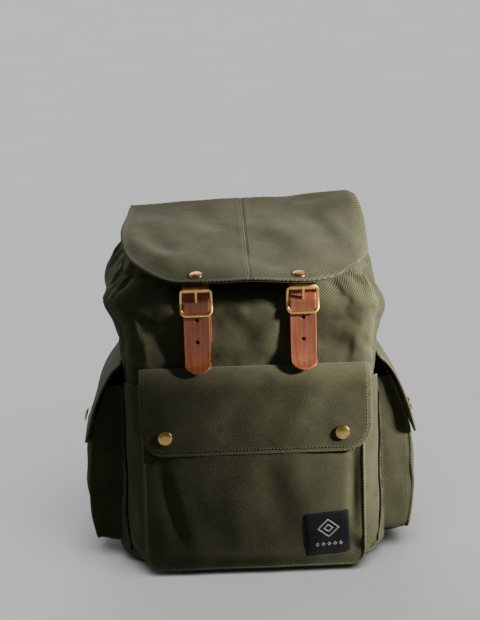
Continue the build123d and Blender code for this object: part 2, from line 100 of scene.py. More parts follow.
def soften(P, times, closed=False):
    for _ in range(times):
        Q = P.copy()
        if closed:
            Q = (np.roll(P, 1, 0) + 2 * P + np.roll(P, -1, 0)) / 4
        else:
            Q[1:-1] = (P[:-2] + 2 * P[1:-1] + P[2:]) / 4
        R = Q.copy()
        R[:, 1:-1] = (Q[:, :-2] + 2 * Q[:, 1:-1] + Q[:, 2:]) / 4
        P = R
    return P


def pick(P, i, j):
    """Grid values at fractional indices."""
    i = np.clip(i, 0, P.shape[0] - 1.001)
    j = np.clip(j, 0, P.shape[1] - 1.001)
    a, b = i.astype(int), j.astype(int)
    f, g = (i - a)[:, None], (j - b)[:, None]
    return (P[a, b] * (1 - f) + P[a + 1, b] * f) * (1 - g) + (P[a, b + 1] * (1 - f) + P[a + 1, b + 1] * f) * g


def ripple(x, y, size, seed):
    """Smooth, repeatable unevenness between about -1 and 1."""
    rng = np.random.default_rng(seed)
    total = np.zeros(np.broadcast(x, y).shape)
    for _ in range(7):
        angle, phase = rng.uniform(0, math.tau, 2)
        k = math.tau / (size * rng.uniform(0.7, 1.6))
        total += np.sin((x * math.cos(angle) + y * math.sin(angle)) * k + phase)
    return total / 3.2


def hump(x, centre, width):
    return np.exp(-(((x - centre) / width) ** 2))


def fold(X, Z, a, b, width, fade=0.6):
    """A soft fold from point a to point b, 1 high along its middle."""
    ax, az = a
    dx, dz = b[0] - ax, b[1] - az
    length = math.hypot(dx, dz)
    t = ((X - ax) * dx + (Z - az) * dz) / length**2
    across = ((X - ax) * dz - (Z - az) * dx) / length
    along = np.sin(math.pi * np.clip(t, 0, 1)) ** fade
    return np.exp(-((across / width) ** 2)) * along


def folds(x, z, *rows):
    """Sum of several folds, each given as from, to, width and height."""
    total = np.zeros(np.broadcast(x, z).shape)
    for a, b, width, height in rows:
        total = total + height * fold(x, z, a, b, width)
    return total


def curve_through(x, xs, ys):
    """A smooth curve through the points (xs, ys), read at x."""
    xs, ys = np.asarray(xs, float), np.asarray(ys, float)
    slope = np.gradient(ys, xs)
    i = np.clip(np.searchsorted(xs, x) - 1, 0, len(xs) - 2)
    h = xs[i + 1] - xs[i]
    t = (x - xs[i]) / h
    return (
        (2 * t**3 - 3 * t**2 + 1) * ys[i]
        + (t**3 - 2 * t**2 + t) * h * slope[i]
        + (3 * t**2 - 2 * t**3) * ys[i + 1]
        + (t**3 - t**2) * h * slope[i + 1]
    )


def round_path(points, times=3):
    """Cuts the corners of a path, again and again."""
    P = np.asarray(points, float)
    for _ in range(times):
        A, B = P[:-1], P[1:]
        cut = np.stack([A * 0.75 + B * 0.25, A * 0.25 + B * 0.75], 1).reshape(-1, P.shape[1])
        P = np.vstack([P[:1], cut, P[-1:]])
    return P


def even_path(points, step, closed=False):
    """The same path with its points about step apart."""
    P = np.asarray(points, float)
    if closed:
        P = np.vstack([P, P[:1]])
    s = distances(P)
    count = max(2, int(round(s[-1] / step)) + 1)
    at = np.linspace(0, s[-1], count)
    Q = np.stack([np.interp(at, s, P[:, k]) for k in range(P.shape[1])], 1)
    return Q[:-1] if closed else Q


# ---------------------------------------------------------------- meshes
def add_mesh(name, verts, faces, uv=None, wear=None):
    me = bpy.data.meshes.new(name)
    me.from_pydata((np.asarray(verts) * MM).tolist(), [], [list(map(int, f)) for f in faces])
    me.polygons.foreach_set("use_smooth", [True] * len(me.polygons))
    if uv is not None:
        layer = me.uv_layers.new(name="weave")
        loops = np.empty(len(me.loops), int)
        me.loops.foreach_get("vertex_index", loops)
        layer.data.foreach_set("uv", (np.asarray(uv)[loops] * MM).ravel())
    if wear is not None:
        me.attributes.new("wear", "FLOAT", "POINT").data.foreach_set("value", np.asarray(wear, np.float32))
    me.update()
    ob = bpy.data.objects.new(name, me)
    scene.collection.objects.link(ob)
    return ob


def finish_piece(ob, material, body=None, replaces=()):
    if not ob.data.materials:
        ob.data.materials.append(material)
    if body:
        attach(ob, body)
    if replaces:
        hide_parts(*replaces)
    return ob


def quads_of(idx, closed=False):
    a = np.vstack([idx, idx[:1]]) if closed else idx
    return np.stack([a[:-1, :-1], a[1:, :-1], a[1:, 1:], a[:-1, 1:]], -1).reshape(-1, 4)


def tube_faces(idx, closed=False):
    """Quads round a tube whose rings are the rows of idx."""
    rows = np.concatenate([idx, idx[:, :1]], 1)
    if closed:
        rows = np.vstack([rows, rows[:1]])
    return np.stack([rows[:-1, :-1], rows[:-1, 1:], rows[1:, 1:], rows[1:, :-1]], -1).reshape(-1, 4).tolist()


def slab(name, P, thick, flat, wear=None, closed=False, edge=0.8, rows=3):
    """A sheet of cloth or leather from the grid P of its outer face, with rounded edges."""
    nu, nv = P.shape[:2]
    N = grid_normals(P, closed)
    count = nu * nv
    idx = np.arange(count).reshape(nu, nv)
    front = P.reshape(-1, 3)
    normal = N.reshape(-1, 3)
    back = front - normal * thick
    flat = np.asarray(flat, float).reshape(-1, 2)
    wear = np.zeros(count) if wear is None else np.asarray(wear, float).reshape(-1)
    verts, uvs, wears = [front, back], [flat, flat], [wear, wear * 0.5]
    quads = quads_of(idx, closed)
    faces = [quads, quads[:, ::-1] + count]
    if closed:
        loops = [idx[:, 0], idx[::-1, -1]]
    else:
        loops = [np.concatenate([idx[:, 0], idx[-1, 1:], idx[-2::-1, -1], idx[0, -2:0:-1]])]
    base = 2 * count
    for loop in loops:
        here = front[loop]
        n = normal[loop]
        out = unit(np.cross(unit(np.roll(here, -1, 0) - np.roll(here, 1, 0)), n))
        middle = here - n * thick / 2
        rings = [loop]
        for k in range(1, rows + 1):
            angle = math.pi * k / (rows + 1)
            ring = middle + n * (thick / 2 * math.cos(angle)) + out * (thick / 2 * edge * math.sin(angle))
            verts.append(ring)
            uvs.append(flat[loop])
            wears.append(np.maximum(wear[loop], 0.75))
            rings.append(np.arange(len(loop)) + base)
            base += len(loop)
        rings.append(loop + count)
        for a, b in zip(rings[:-1], rings[1:]):
            faces.append(np.stack([np.roll(a, -1), a, b, np.roll(b, -1)], 1))
    return add_mesh(name, np.vstack(verts), np.vstack(faces), np.vstack(uvs), np.concatenate(wears))


def sweep(name, path, radius, sides=12, closed=False, wear=0.0):
    """A round bar along a path; radius may change along it."""
    P = np.asarray(path, float)
    n = len(P)
    T = unit(np.roll(P, -1, 0) - np.roll(P, 1, 0))
    if not closed:
        T[0], T[-1] = unit(P[1] - P[0]), unit(P[-1] - P[-2])
    ref = np.array([0.0, 0.0, 1.0])
    if abs(T[0] @ ref) > 0.9:
        ref = np.array([1.0, 0.0, 0.0])
    A = [unit(np.cross(T[0], ref))]
    for t in T[1:]:
        A.append(unit(A[-1] - t * (A[-1] @ t)))
    A = np.array(A)
    if closed:
        B0 = np.cross(T[0], A[0])
        end = unit(A[-1] - T[0] * (A[-1] @ T[0]))
        twist = math.atan2(end @ B0, end @ A[0])
        turn = -twist * np.arange(n) / n
        A = A * np.cos(turn)[:, None] + np.cross(T, A) * np.sin(turn)[:, None]
    B = np.cross(T, A)
    R = np.broadcast_to(np.asarray(radius, float), (n,))[:, None, None]
    phi = np.arange(sides) * math.tau / sides
    ring = A[:, None] * np.cos(phi)[None, :, None] + B[:, None] * np.sin(phi)[None, :, None]
    verts = (P[:, None] + ring * R).reshape(-1, 3)
    uv = grid(phi[None] * R[:, :, 0], distances(P)[:, None]).reshape(-1, 2)
    idx = np.arange(n * sides).reshape(n, sides)
    faces = tube_faces(idx, closed)
    if not closed:
        faces += [idx[0, ::-1].tolist(), idx[-1].tolist()]
    return add_mesh(name, verts, faces, uv, np.full(len(verts), wear))


def lathe(profile, origin, axis, turns=36):
    """Verts and faces of a turned part; the profile is (radius, height) from bottom to top."""
    axis = unit(np.asarray(axis, float))
    side = unit(np.cross(axis, [0.0, 0.0, 1.0] if abs(axis[2]) < 0.9 else [1.0, 0.0, 0.0]))
    other = np.cross(axis, side)
    phi = np.arange(turns) * math.tau / turns
    prof = np.asarray(profile, float)
    verts = (
        np.asarray(origin, float)
        + prof[:, None, 1, None] * axis
        + prof[:, None, 0, None] * (np.cos(phi)[None, :, None] * side + np.sin(phi)[None, :, None] * other)
    ).reshape(-1, 3)
    idx = np.arange(len(prof) * turns).reshape(len(prof), turns)
    return verts, tube_faces(idx) + [idx[0, ::-1].tolist(), idx[-1].tolist()]


def joined(name, parts):
    """One mesh out of several (verts, faces) parts."""
    verts, faces, base = [], [], 0
    for v, f in parts:
        verts.append(v)
        faces += [[i + base for i in face] for face in f]
        base += len(v)
    return add_mesh(name, np.vstack(verts), faces, None, np.zeros(base))


def drill(ob, centre, axis, radius):
    """Cuts a real round hole through a finished sheet."""
    v, f = lathe(((radius, -20), (radius, 20)), centre, axis, 24)
    cutter = add_mesh("cutter", v, f)
    mod = ob.modifiers.new("hole", "BOOLEAN")
    mod.operation, mod.solver, mod.object = "DIFFERENCE", "EXACT", cutter
    graph = bpy.context.evaluated_depsgraph_get()
    new = bpy.data.meshes.new_from_object(ob.evaluated_get(graph))
    ob.modifiers.clear()
    old, ob.data = ob.data, new
    bpy.data.meshes.remove(old)
    bpy.data.objects.remove(cutter)


# ---------------------------------------------------------------- cloth
def settle(P, pins, pressure, grow, bend, steps, cap):
    """Lets a sewn tube of cloth puff and buckle between its seams, and returns the new grid.

    No point moves by more than cap.
    """
    nu, nv = P.shape[:2]
    ob = add_mesh("settling", P.reshape(-1, 3), quads_of(np.arange(nu * nv).reshape(nu, nv), True))
    group = ob.vertex_groups.new(name="pin")
    for i, w in enumerate(np.asarray(pins, float).ravel()):
        if w > 0:
            group.add([i], float(w), "REPLACE")
    mod = ob.modifiers.new("cloth", "CLOTH")
    c = mod.settings
    c.quality = 5
    c.mass = 0.3
    c.tension_stiffness = c.compression_stiffness = 30
    c.shear_stiffness = 15
    c.bending_stiffness = bend
    c.air_damping = 3
    c.use_pressure = True
    c.uniform_pressure_force = pressure
    c.shrink_min = -grow
    c.vertex_group_mass = "pin"
    c.effector_weights.gravity = 0
    mod.collision_settings.use_collision = False
    for f in range(1, steps + 1):
        scene.frame_set(f)
    ev = ob.evaluated_get(bpy.context.evaluated_depsgraph_get())
    co = np.empty(nu * nv * 3, np.float32)
    ev.data.vertices.foreach_get("co", co)
    bpy.data.objects.remove(ob)
    scene.frame_set(1)
    move = co.reshape(nu, nv, 3) / MM - P
    size = np.linalg.norm(move, axis=-1, keepdims=True)
    return P + move * (cap * np.tanh(size / cap) / np.maximum(size, 1e-9))


# ---------------------------------------------------------------- stitches
class Stitches:
    """Rows of thread: one small raised stitch after another along each seam."""

    SIDES = 6
    # place along the stitch, thickness and height of each of its rings
    SHAPE = ((-1, 0.4, -0.9), (-0.65, 0.9, -0.1), (0, 1, 0.1), (0.65, 0.9, -0.1), (1, 0.4, -0.9))

    def __init__(self):
        self.verts, self.faces, self.count = [], [], 0

    def sew(self, path, normal, pitch=3.9, length=2.7, radius=0.45, lift=0.12):
        path, normal = np.asarray(path, float), np.asarray(normal, float)
        s = distances(path)
        number = int(s[-1] / pitch)
        if number < 1:
            return
        at = (np.arange(number) + 0.5) * s[-1] / number

        def along(values, where):
            return np.stack([np.interp(where, s, values[:, k]) for k in range(3)], 1)

        c = along(path, at)
        n = unit(along(normal, at))
        t = unit(along(path, at + 0.5) - along(path, at - 0.5))
        b = np.cross(t, n)
        phi = np.arange(self.SIDES) * math.tau / self.SIDES
        rings = []
        for place, size, height in self.SHAPE:
            middle = c + t * (place * length / 2) + n * (height * radius + lift)
            ring = n[:, None] * np.cos(phi)[None, :, None] + b[:, None] * np.sin(phi)[None, :, None]
            rings.append(middle[:, None] + ring * (radius * size))
        one = np.arange(len(rings) * self.SIDES).reshape(-1, self.SIDES)
        quads = quads_of(np.concatenate([one, one[:, :1]], 1))
        for k in range(number):
            base = self.count + one.size * k
            self.faces += (quads + base).tolist()
            self.faces += [(one[0] + base).tolist(), (one[-1, ::-1] + base).tolist()]
        self.verts.append(np.stack(rings, 1).reshape(-1, 3))
        self.count += one.size * number

    def build(self, name, body, material=None):
        ob = add_mesh(name, np.vstack(self.verts), self.faces)
        return finish_piece(ob, material or THREAD, body)


class Panel:
    """A flat pattern in rows, u across and v along, laid on a curved grid."""

    def __init__(self, v, half, left=-1.0, right=1.0, nu=60):
        self.v, self.half = np.asarray(v, float), np.asarray(half, float)
        self.left, self.right, self.nu = left, right, nu
        s = np.linspace(left, right, nu)
        self.X = s[:, None] * self.half[None]
        self.V = np.broadcast_to(self.v[None], self.X.shape)

    def flat(self):
        return np.stack([self.X, self.V], -1)

    def lay(self, P):
        self.P, self.N = P, grid_normals(P)

    def at(self, x, v, lift=0.0):
        x, v = np.asarray(x, float), np.asarray(v, float)
        scale = (len(self.P) - 1) / (self.nu - 1)
        w = np.interp(v, self.v, self.half)
        i = (x / w - self.left) / (self.right - self.left) * (self.nu - 1) * scale
        j = np.interp(v, self.v, np.arange(len(self.v))) * (self.P.shape[1] - 1) / (len(self.v) - 1)
        n = unit(pick(self.N, i, j))
        return pick(self.P, i, j) + n * lift, n


def row_places(low, high, r_low, r_high, step):
    """Row heights between two ends, closer together round the corners."""
    parts = []
    if r_low:
        phi = np.linspace(0, math.pi / 2, max(6, int(r_low * 1.6 / step)))
        parts.append(low + r_low * (1 - np.cos(phi)))
    else:
        parts.append(np.array([low]))
    a, b = low + r_low, high - r_high
    parts.append(np.linspace(a, b, max(2, int((b - a) / step) + 1))[1:-1])
    if r_high:
        phi = np.linspace(math.pi / 2, 0, max(6, int(r_high * 1.6 / step)))
        parts.append(high - r_high * (1 - np.cos(phi)))
    else:
        parts.append(np.array([high]))
    return np.concatenate(parts)


def rounded_half(v, half, low, high, r_low, r_high):
    """Half widths of the rows v, less the corners' rounding."""
    half = np.broadcast_to(np.asarray(half, float), np.shape(v)).copy()
    if r_low:
        d = np.clip(r_low - (v - low), 0, r_low)
        half -= r_low - np.sqrt(r_low**2 - d**2)
    if r_high:
        d = np.clip(r_high - (high - v), 0, r_high)
        half -= r_high - np.sqrt(r_high**2 - d**2)
    return half


def rounded_panel(half, low, high, r_low, r_high, step, nu):
    v = row_places(low, high, r_low, r_high, step)
    return Panel(v, rounded_half(v, half, low, high, r_low, r_high), nu=nu)


def u_path(half, low, high, r, step=2.0):
    """Flat points down the left edge, along the rounded bottom and up the right edge."""
    phi = np.linspace(0, math.pi / 2, 14)
    left = np.stack([-half + r - r * np.cos(phi), low + r - r * np.sin(phi)], 1)
    right = np.stack([half - r + r * np.sin(phi), low + r - r * np.cos(phi)], 1)
    points = np.vstack([[[-half, high]], left, right, [[half, high]]])
    return even_path(points, step)


# ---------------------------------------------------------------- materials
class Graph:
    """A node material: makes the nodes and links them."""

    def __init__(self, name):
        self.material = bpy.data.materials.new(name)
        self.material.use_nodes = True
        self.tree = self.material.node_tree
        self.shader = self.tree.nodes["Principled BSDF"]

    def node(self, kind, *inputs, **props):
        n = self.tree.nodes.new(kind)
        for key, value in props.items():
            if key.startswith("in_"):
                self.put(n.inputs[key[3:].replace("_", " ")], value)
            else:
                setattr(n, key, value)
        for k, value in enumerate(inputs):
            if value is not None:
                self.put(n.inputs[k], value)
        return n

    def put(self, socket, value):
        if isinstance(value, bpy.types.NodeSocket):
            self.tree.links.new(value, socket)
        else:
            socket.default_value = value

    def math(self, op, *inputs):
        return self.node("ShaderNodeMath", *inputs, operation=op).outputs[0]

    def mix(self, factor, a, b):
        n = self.node("ShaderNodeMix", data_type="RGBA")
        self.put(n.inputs[0], factor)
        self.put(n.inputs[6], a)
        self.put(n.inputs[7], b)
        return n.outputs[2]

    def noise(self, vector, scale, detail=3.0, rough=0.5, stretch=None):
        if stretch:
            vector = self.node("ShaderNodeMapping", vector, in_Scale=stretch).outputs[0]
        return self.node("ShaderNodeTexNoise", in_Vector=vector, in_Scale=scale, in_Detail=detail,
            in_Roughness=rough).outputs[0]

    def span(self, value, low, high, to_low=0.0, to_high=1.0):
        return self.node("ShaderNodeMapRange", value, low, high, to_low, to_high).outputs[0]

    def uv(self):
        return self.node("ShaderNodeUVMap", uv_map="weave").outputs[0]

    def place(self):
        return self.node("ShaderNodeTexCoord").outputs["Object"]

    def wear(self):
        return self.node("ShaderNodeAttribute", attribute_name="wear").outputs["Fac"]

    def finish(self, colour, rough, height, strength, distance, **constants):
        self.put(self.shader.inputs["Base Color"], colour)
        self.put(self.shader.inputs["Roughness"], rough)
        bump = self.node("ShaderNodeBump", in_Strength=strength, in_Distance=distance, in_Height=height)
        self.put(self.shader.inputs["Normal"], bump.outputs[0])
        for key, value in constants.items():
            self.shader.inputs[key.replace("_", " ")].default_value = value
        return self.material


def rgb(r, g, b):
    return tuple((c / 255) ** 2.2 for c in (r, g, b)) + (1.0,)


TWILL = 0.0022  # distance between the cloth's ribs, in m


def cloth_material(name, dark, light, worn, pitch=TWILL, diagonal=True, strength=0.3):
    """Woven cloth: twill ribs or a plain weave, slubs, clouds, and paler rubbed edges."""
    g = Graph(name)
    dark, light, worn = rgb(*dark), rgb(*light), rgb(*worn)
    uv = g.uv()
    xyz = g.node("ShaderNodeSeparateXYZ", uv)
    u, v = xyz.outputs[0], xyz.outputs[1]
    waver = g.noise(uv, 900.0, 1.0)
    if diagonal:
        run = g.math("SUBTRACT", u, v)
        cross = g.math("ADD", u, v)
        turn = math.tau / (pitch * math.sqrt(2))
        rib = g.math("SINE", g.math("MULTIPLY_ADD", waver, 1.6, g.math("MULTIPLY", run, turn)))
        yarn = g.math("SINE", g.math("MULTIPLY", cross, turn * 1.5))
        rib = g.math("MULTIPLY_ADD", yarn, 0.28, rib)
    else:
        turn = math.tau / pitch
        warp = g.math("SINE", g.math("MULTIPLY_ADD", waver, 1.2, g.math("MULTIPLY", u, turn)))
        weft = g.math("SINE", g.math("MULTIPLY", v, turn))
        rib = g.math("MULTIPLY", warp, weft)
    rib01 = g.span(rib, -1.1, 1.1)
    slub_a = g.noise(uv, 1.0, 2.0, 0.6, (260.0, 1500.0, 1.0))
    slub_b = g.noise(uv, 1.0, 2.0, 0.6, (1500.0, 260.0, 1.0))
    slub = g.math("ADD", slub_a, slub_b)
    base = g.mix(g.span(g.math("MULTIPLY_ADD", slub, 0.5, rib01), 0.35, 1.35), dark, light)
    cloud = g.noise(uv, 22.0, 4.0, 0.6)
    base = g.mix(g.span(cloud, 0.36, 0.7, 0.0, 0.4), base, g.mix(0.5, base, worn))
    rub = g.math("MULTIPLY", g.wear(), g.span(g.noise(uv, 260.0, 3.0, 0.65), 0.3, 0.62, 0.25, 1.0))
    base = g.mix(g.span(rub, 0.0, 1.0, 0.0, 0.85), base, g.mix(g.span(rib01, 0.0, 1.0, 0.35, 1.0), dark, worn))
    rough = g.span(rib01, 0.0, 1.0, 0.97, 0.86)
    height = g.math("MULTIPLY_ADD", slub, 0.35, rib01)
    return g.finish(base, rough, height, strength, 0.00035, Sheen_Weight=0.12, Sheen_Roughness=0.5,
        Specular_IOR_Level=0.18)


def leather_material(name, deep, mid, pale):
    """Oiled leather: streaks along the strap, pale pulls, fine cells and light edges."""
    g = Graph(name)
    deep, mid, pale = rgb(*deep), rgb(*mid), rgb(*pale)
    uv = g.uv()
    cells = g.node("ShaderNodeTexVoronoi", in_Vector=uv, in_Scale=1300.0, feature="DISTANCE_TO_EDGE").outputs[0]
    grain = g.noise(uv, 800.0, 5.0, 0.65)
    streak = g.noise(uv, 1.0, 4.0, 0.62, (340.0, 12.0, 1.0))
    pull = g.noise(uv, 34.0, 3.0, 0.5)
    base = g.mix(g.span(streak, 0.32, 0.64), deep, mid)
    base = g.mix(g.span(pull, 0.4, 0.75, 0.0, 0.45), base, pale)
    edge = g.math("POWER", g.wear(), 2.0)
    base = g.mix(g.math("MULTIPLY", edge, 0.7), base, rgb(222, 130, 80))
    base = g.mix(g.span(cells, 0.0, 0.1, 0.16, 0.0), base, deep)
    rough = g.span(g.math("ADD", grain, pull), 0.7, 1.4, 0.3, 0.5)
    height = g.math("MULTIPLY_ADD", g.span(cells, 0.0, 0.2), 0.35, grain)
    return g.finish(base, rough, height, 0.25, 0.0002, Coat_Weight=0.3, Coat_Roughness=0.3,
        Specular_IOR_Level=0.5)


def metal_material(name, bright, dull, grime, rough_low, rough_high, patina):
    """Used metal: a cloudy polish, scratches and small dark spots."""
    g = Graph(name)
    bright, dull, grime = rgb(*bright), rgb(*dull), rgb(*grime)
    at = g.place()
    cloud = g.noise(at, 160.0, 4.0, 0.6)
    fine = g.noise(at, 900.0, 3.0, 0.6)
    scratch = g.noise(at, 1.0, 2.0, 0.5, (2600.0, 300.0, 2600.0))
    base = g.mix(g.span(cloud, 0.35, 0.68), bright, dull)
    spots = g.math("MULTIPLY", g.span(fine, 0.56, 0.7), g.span(cloud, 0.45, 0.6))
    base = g.mix(g.math("MULTIPLY", spots, patina), base, grime)
    rough = g.span(g.math("ADD", g.math("MULTIPLY", scratch, 0.5), cloud), 0.5, 1.1, rough_low, rough_high)
    height = g.math("ADD", scratch, fine)
    return g.finish(base, rough, height, 0.16, 0.0001, Metallic=1.0)


CANVAS = cloth_material("olive_twill", (28, 28, 19), (110, 109, 82), (156, 155, 120), strength=0.6)
FACING = cloth_material("lining_cloth", (58, 56, 42), (98, 94, 72), (128, 124, 98), 0.0009, False)
BINDING = cloth_material("dark_binding", (20, 20, 16), (42, 41, 32), (74, 72, 56), 0.0011, False, 0.4)
WEBBING = cloth_material("olive_webbing", (40, 40, 28), (84, 82, 58), (120, 118, 88), 0.0018, False, 0.8)
PATCH = cloth_material("black_patch", (14, 14, 16), (38, 38, 42), (92, 92, 98), 0.0007, False)
MOTIF = cloth_material("pale_weave", (150, 148, 140), (205, 202, 192), (220, 218, 208), 0.0007, False)
THREAD = cloth_material("stitch_thread", (78, 78, 58), (140, 139, 108), (160, 159, 126), 0.0006, False)
LEATHER = leather_material("oiled_leather", (122, 63, 42), (176, 102, 70), (204, 142, 116))
BRASS = metal_material("polished_brass", (250, 214, 138), (236, 192, 108), (160, 116, 60), 0.36, 0.52, 0.3)
AGED = metal_material("aged_brass", (212, 182, 116), (178, 144, 84), (92, 62, 32), 0.26, 0.46, 0.8)
COPPER = metal_material("copper_rivet", (232, 180, 118), (210, 148, 86), (120, 74, 42), 0.24, 0.42, 0.6)

# pieces carried over from the frame
for node in ("drawstring_eyelets", "front_snap_studs", "side_snap_studs", "front_snap_sockets",
             "left_side_snap_socket", "right_side_snap_socket", "left_adjuster", "right_adjuster"):
    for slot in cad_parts[node].material_slots:
        slot.material = AGED
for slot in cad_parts["buckle_tab_rivets"].material_slots:
    slot.material = COPPER


def cad_points(name):
    return np.array([v.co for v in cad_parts[name].data.vertices]) / MM


# ---------------------------------------------------------------- main compartment
OUTLINES = (  # height, centre y, tilt, width, depth, corner radius
    (3, 0, 0, 284, 164, 34),
    (14, 0, 0, 300, 172, 38),
    (28, 0, 0, 302, 173, 36),
    (110, 0, 0, 292, 172, 28),
    (232, 0, 0, 287, 172, 28),
    (280, 0, 1, 306, 172, 36),
    (312, 0, 3.5, 319, 172, 42),
    (330, 6, 8, 304, 165, 46),
    (345, 12, 14, 280, 152, 46),
)
SIDE_CELLS = (50, 30, 50, 30)
SHELL_ROWS = 58
FLAP_SEAM = 236  # the front pocket and its flap cover the body below this height
STRAP_X = 59.0  # middle of each closing strap


# The shell's columns run round the body: front, right, back, left, each from mid corner to mid corner.
def corner_run(a, b, r, n):
    """Points along one side from mid corner to mid corner: (along, out)."""
    arc = r * math.pi / 4
    straight = 2 * (a - r)
    s = np.linspace(0, 2 * arc + straight, n + 1)[:-1]
    first = np.clip(s, 0, arc) / r
    last = np.clip(s - arc - straight, 0, arc) / r
    along = -(a - r) - r * np.sin(math.pi / 4 - first) + np.clip(s - arc, 0, straight) + r * np.sin(last)
    out = b - r + r * np.cos(math.pi / 4 - first)
    out = np.where(s > arc, b - r + r * np.cos(last), out)
    return along, out


def outline_ring(w, d, r, cells=SIDE_CELLS):
    sides = []
    for k, n in enumerate(cells):
        a, b = (w / 2, d / 2) if k % 2 == 0 else (d / 2, w / 2)
        along, out = corner_run(a, b, r, n)
        x, y = ((along, -out), (out, along), (-along, out), (-out, -along))[k]
        sides.append(np.stack([x, y], 1))
    return np.vstack(sides)


def outline_at(z):
    """Centre y, tilt, width, depth and corner radius of the body at height z."""
    table = np.asarray(OUTLINES, float)
    return [float(curve_through(np.array([z]), table[:, 0], table[:, k])[0]) for k in range(1, 6)]


def tilted(ring, z, centre, tilt):
    """A flat ring set at height z and tipped by tilt degrees, front down."""
    t = math.radians(tilt)
    y = ring[:, 1]
    return np.stack([ring[:, 0], centre + y * math.cos(t), z + y * math.sin(t)], 1)


def shell_maps(corner, heights):
    """For each point of the shell: its height, its place along its side (-1 to 1) and the side's number."""
    side_of = np.searchsorted(corner[1:], np.arange(corner[-1]), side="right")
    side_at = np.concatenate([np.arange(n) / n * 2 - 1 for n in np.diff(corner)])
    shape = (corner[-1], len(heights))
    return [np.broadcast_to(a, shape) for a in (heights[None], side_at[:, None], side_of[:, None])]


def side_masks(K):
    """Masks of the front, right, back and left."""
    return [K == k for k in range(4)]


corner = np.cumsum((0,) + SIDE_CELLS)
heights = np.linspace(OUTLINES[0][0], OUTLINES[-1][0], SHELL_ROWS)
rows = []
for z in heights:
    yc, tilt, w, d, r = outline_at(z)
    rows.append(tilted(outline_ring(w, d, r), z, yc, tilt))
shell = np.stack(rows, 1)
middle_ring = rows[len(rows) // 2 + 1]
ring_place = distances(np.vstack([middle_ring, middle_ring[:1]]))[:-1]
H, S, K = shell_maps(corner, heights)
X, Y = shell[..., 0], shell[..., 1]
pins = np.zeros(shell.shape[:2])
pins[:, 0] = pins[:, -1] = 1
pins[:, 1] = 0.6
at_seam = np.abs(S) > 0.97
pins[at_seam] = np.maximum(pins[at_seam], 0.35)
front, right, back, left = side_masks(K)
pins[front & (H < FLAP_SEAM)] = 1
pins[front & (np.abs(np.abs(X) - STRAP_X) < 20) & (H > 255) & (H < 316)] = 1
# under the side pockets and their flaps, the strap yoke and the strap tabs
pins[(right | left) & (np.abs(Y) < 62) & (H > 16) & (H < 168)] = 1
pins[(right | left) & (np.abs(Y) < 68) & (H > 226) & (H < 240)] = 1
pins[back & (H > 328)] = 1
pins[back & (np.abs(X) > 96) & (H < 60)] = 1
settled = settle(shell, pins, pressure=3.2, grow=0.03, bend=0.4, steps=22, cap=7.0)
# the front keeps little of the simulation, since its folds come from body_sculpt
calm = np.where(front, 0.3 + 0.7 * S**4, 1.0)
shell = shell + (settled - shell) * calm[..., None]


def body_sculpt(P, S, H, K):
    """Ears, gathers and the folds that the buckles pull, in mm along the surface normal."""
    X, Y, Z = P[..., 0], P[..., 1], P[..., 2]
    front, right, back, left = side_masks(K)
    near_corner = hump(1 - np.abs(S), 0, 0.07)
    out = 1.8 * near_corner * np.clip((H - 6) / 20, 0, 1)
    out = out + 3.2 * hump(1 - np.abs(S), 0, 0.16) * hump(H, 316, 15)
    gather = np.sin(S * math.pi * np.where(front | back, 8.5, 5.5) + 1.7 * ripple(S * 90, H * 0.25, 70, 5))
    out = out + gather * 1.9 * np.clip((H - 302) / 40, 0, 1) * np.where(front | back, 0.8, 1.0)
    pull = folds(
        X, Z,
        ((-118, 330), (-24, 236), 15, 3.2),
        ((-140, 300), (-88, 240), 13, -3.0),
        ((-86, 330), (-30, 262), 10, -2.4),
        ((74, 296), (134, 250), 16, 2.0),
        ((92, 322), (128, 300), 14, -1.4),
        ((84, 276), (126, 238), 13, -1.6),
        ((40, 300), (6, 250), 13, 2.4),
        ((36, 320), (-8, 300), 12, -2.2),
        ((-34, 300), (4, 262), 11, -1.8),
        ((112, 326), (140, 284), 15, 1.4),
        ((-40, 256), (36, 246), 9, 1.6),
    )
    out = out + np.where(front, pull, 0) * (1 - 0.7 * (hump(np.abs(X), STRAP_X, 15) * (Z < 318)))
    flank = folds(
        Y, Z,
        ((-70, 322), (0, 250), 14, 3.0),
        ((-30, 330), (50, 262), 12, -3.0),
        ((66, 318), (16, 256), 12, 2.6),
        ((-60, 280), (-10, 240), 10, -2.2),
        ((40, 246), (76, 300), 10, 2.0),
        ((-78, 210), (-66, 60), 9, 2.0),
        ((78, 200), (68, 40), 9, 2.0),
    )
    out = out + np.where(right | left, flank, 0)
    rear = folds(
        X, Z,
        ((-130, 300), (-30, 220), 16, 2.4),
        ((120, 310), (40, 200), 16, 2.4),
        ((-90, 160), (60, 120), 18, 2.0),
        ((-120, 90), (-20, 40), 14, 2.2),
        ((20, 60), (120, 110), 14, 2.0),
        ((-10, 300), (10, 190), 12, -1.6),
    )
    out = out + np.where(back & (H < 326), rear, 0)
    out = out + 0.8 * ripple(np.cumsum(np.ones_like(X), 0) * 3, H, 55, 11) * np.where(front & (H < 232), 0.2,
        1.0)
    slump = 2.4 * hump(H, 17, 9) * (1 + 0.5 * ripple(S * 120, K * 40, 60, 3))
    out = out + slump * np.clip(H / 12, 0, 1)
    out = np.where(H > 338, out * 0.6, out)
    return P + grid_normals(P, True) * out[..., None]


FINE = 2
shell = refine(shell, FINE, True)
corner = corner * FINE
total = corner[-1]
H, S, K = shell_maps(corner, np.linspace(heights[0], heights[-1], shell.shape[1]))
shell = body_sculpt(shell, S, H, K)
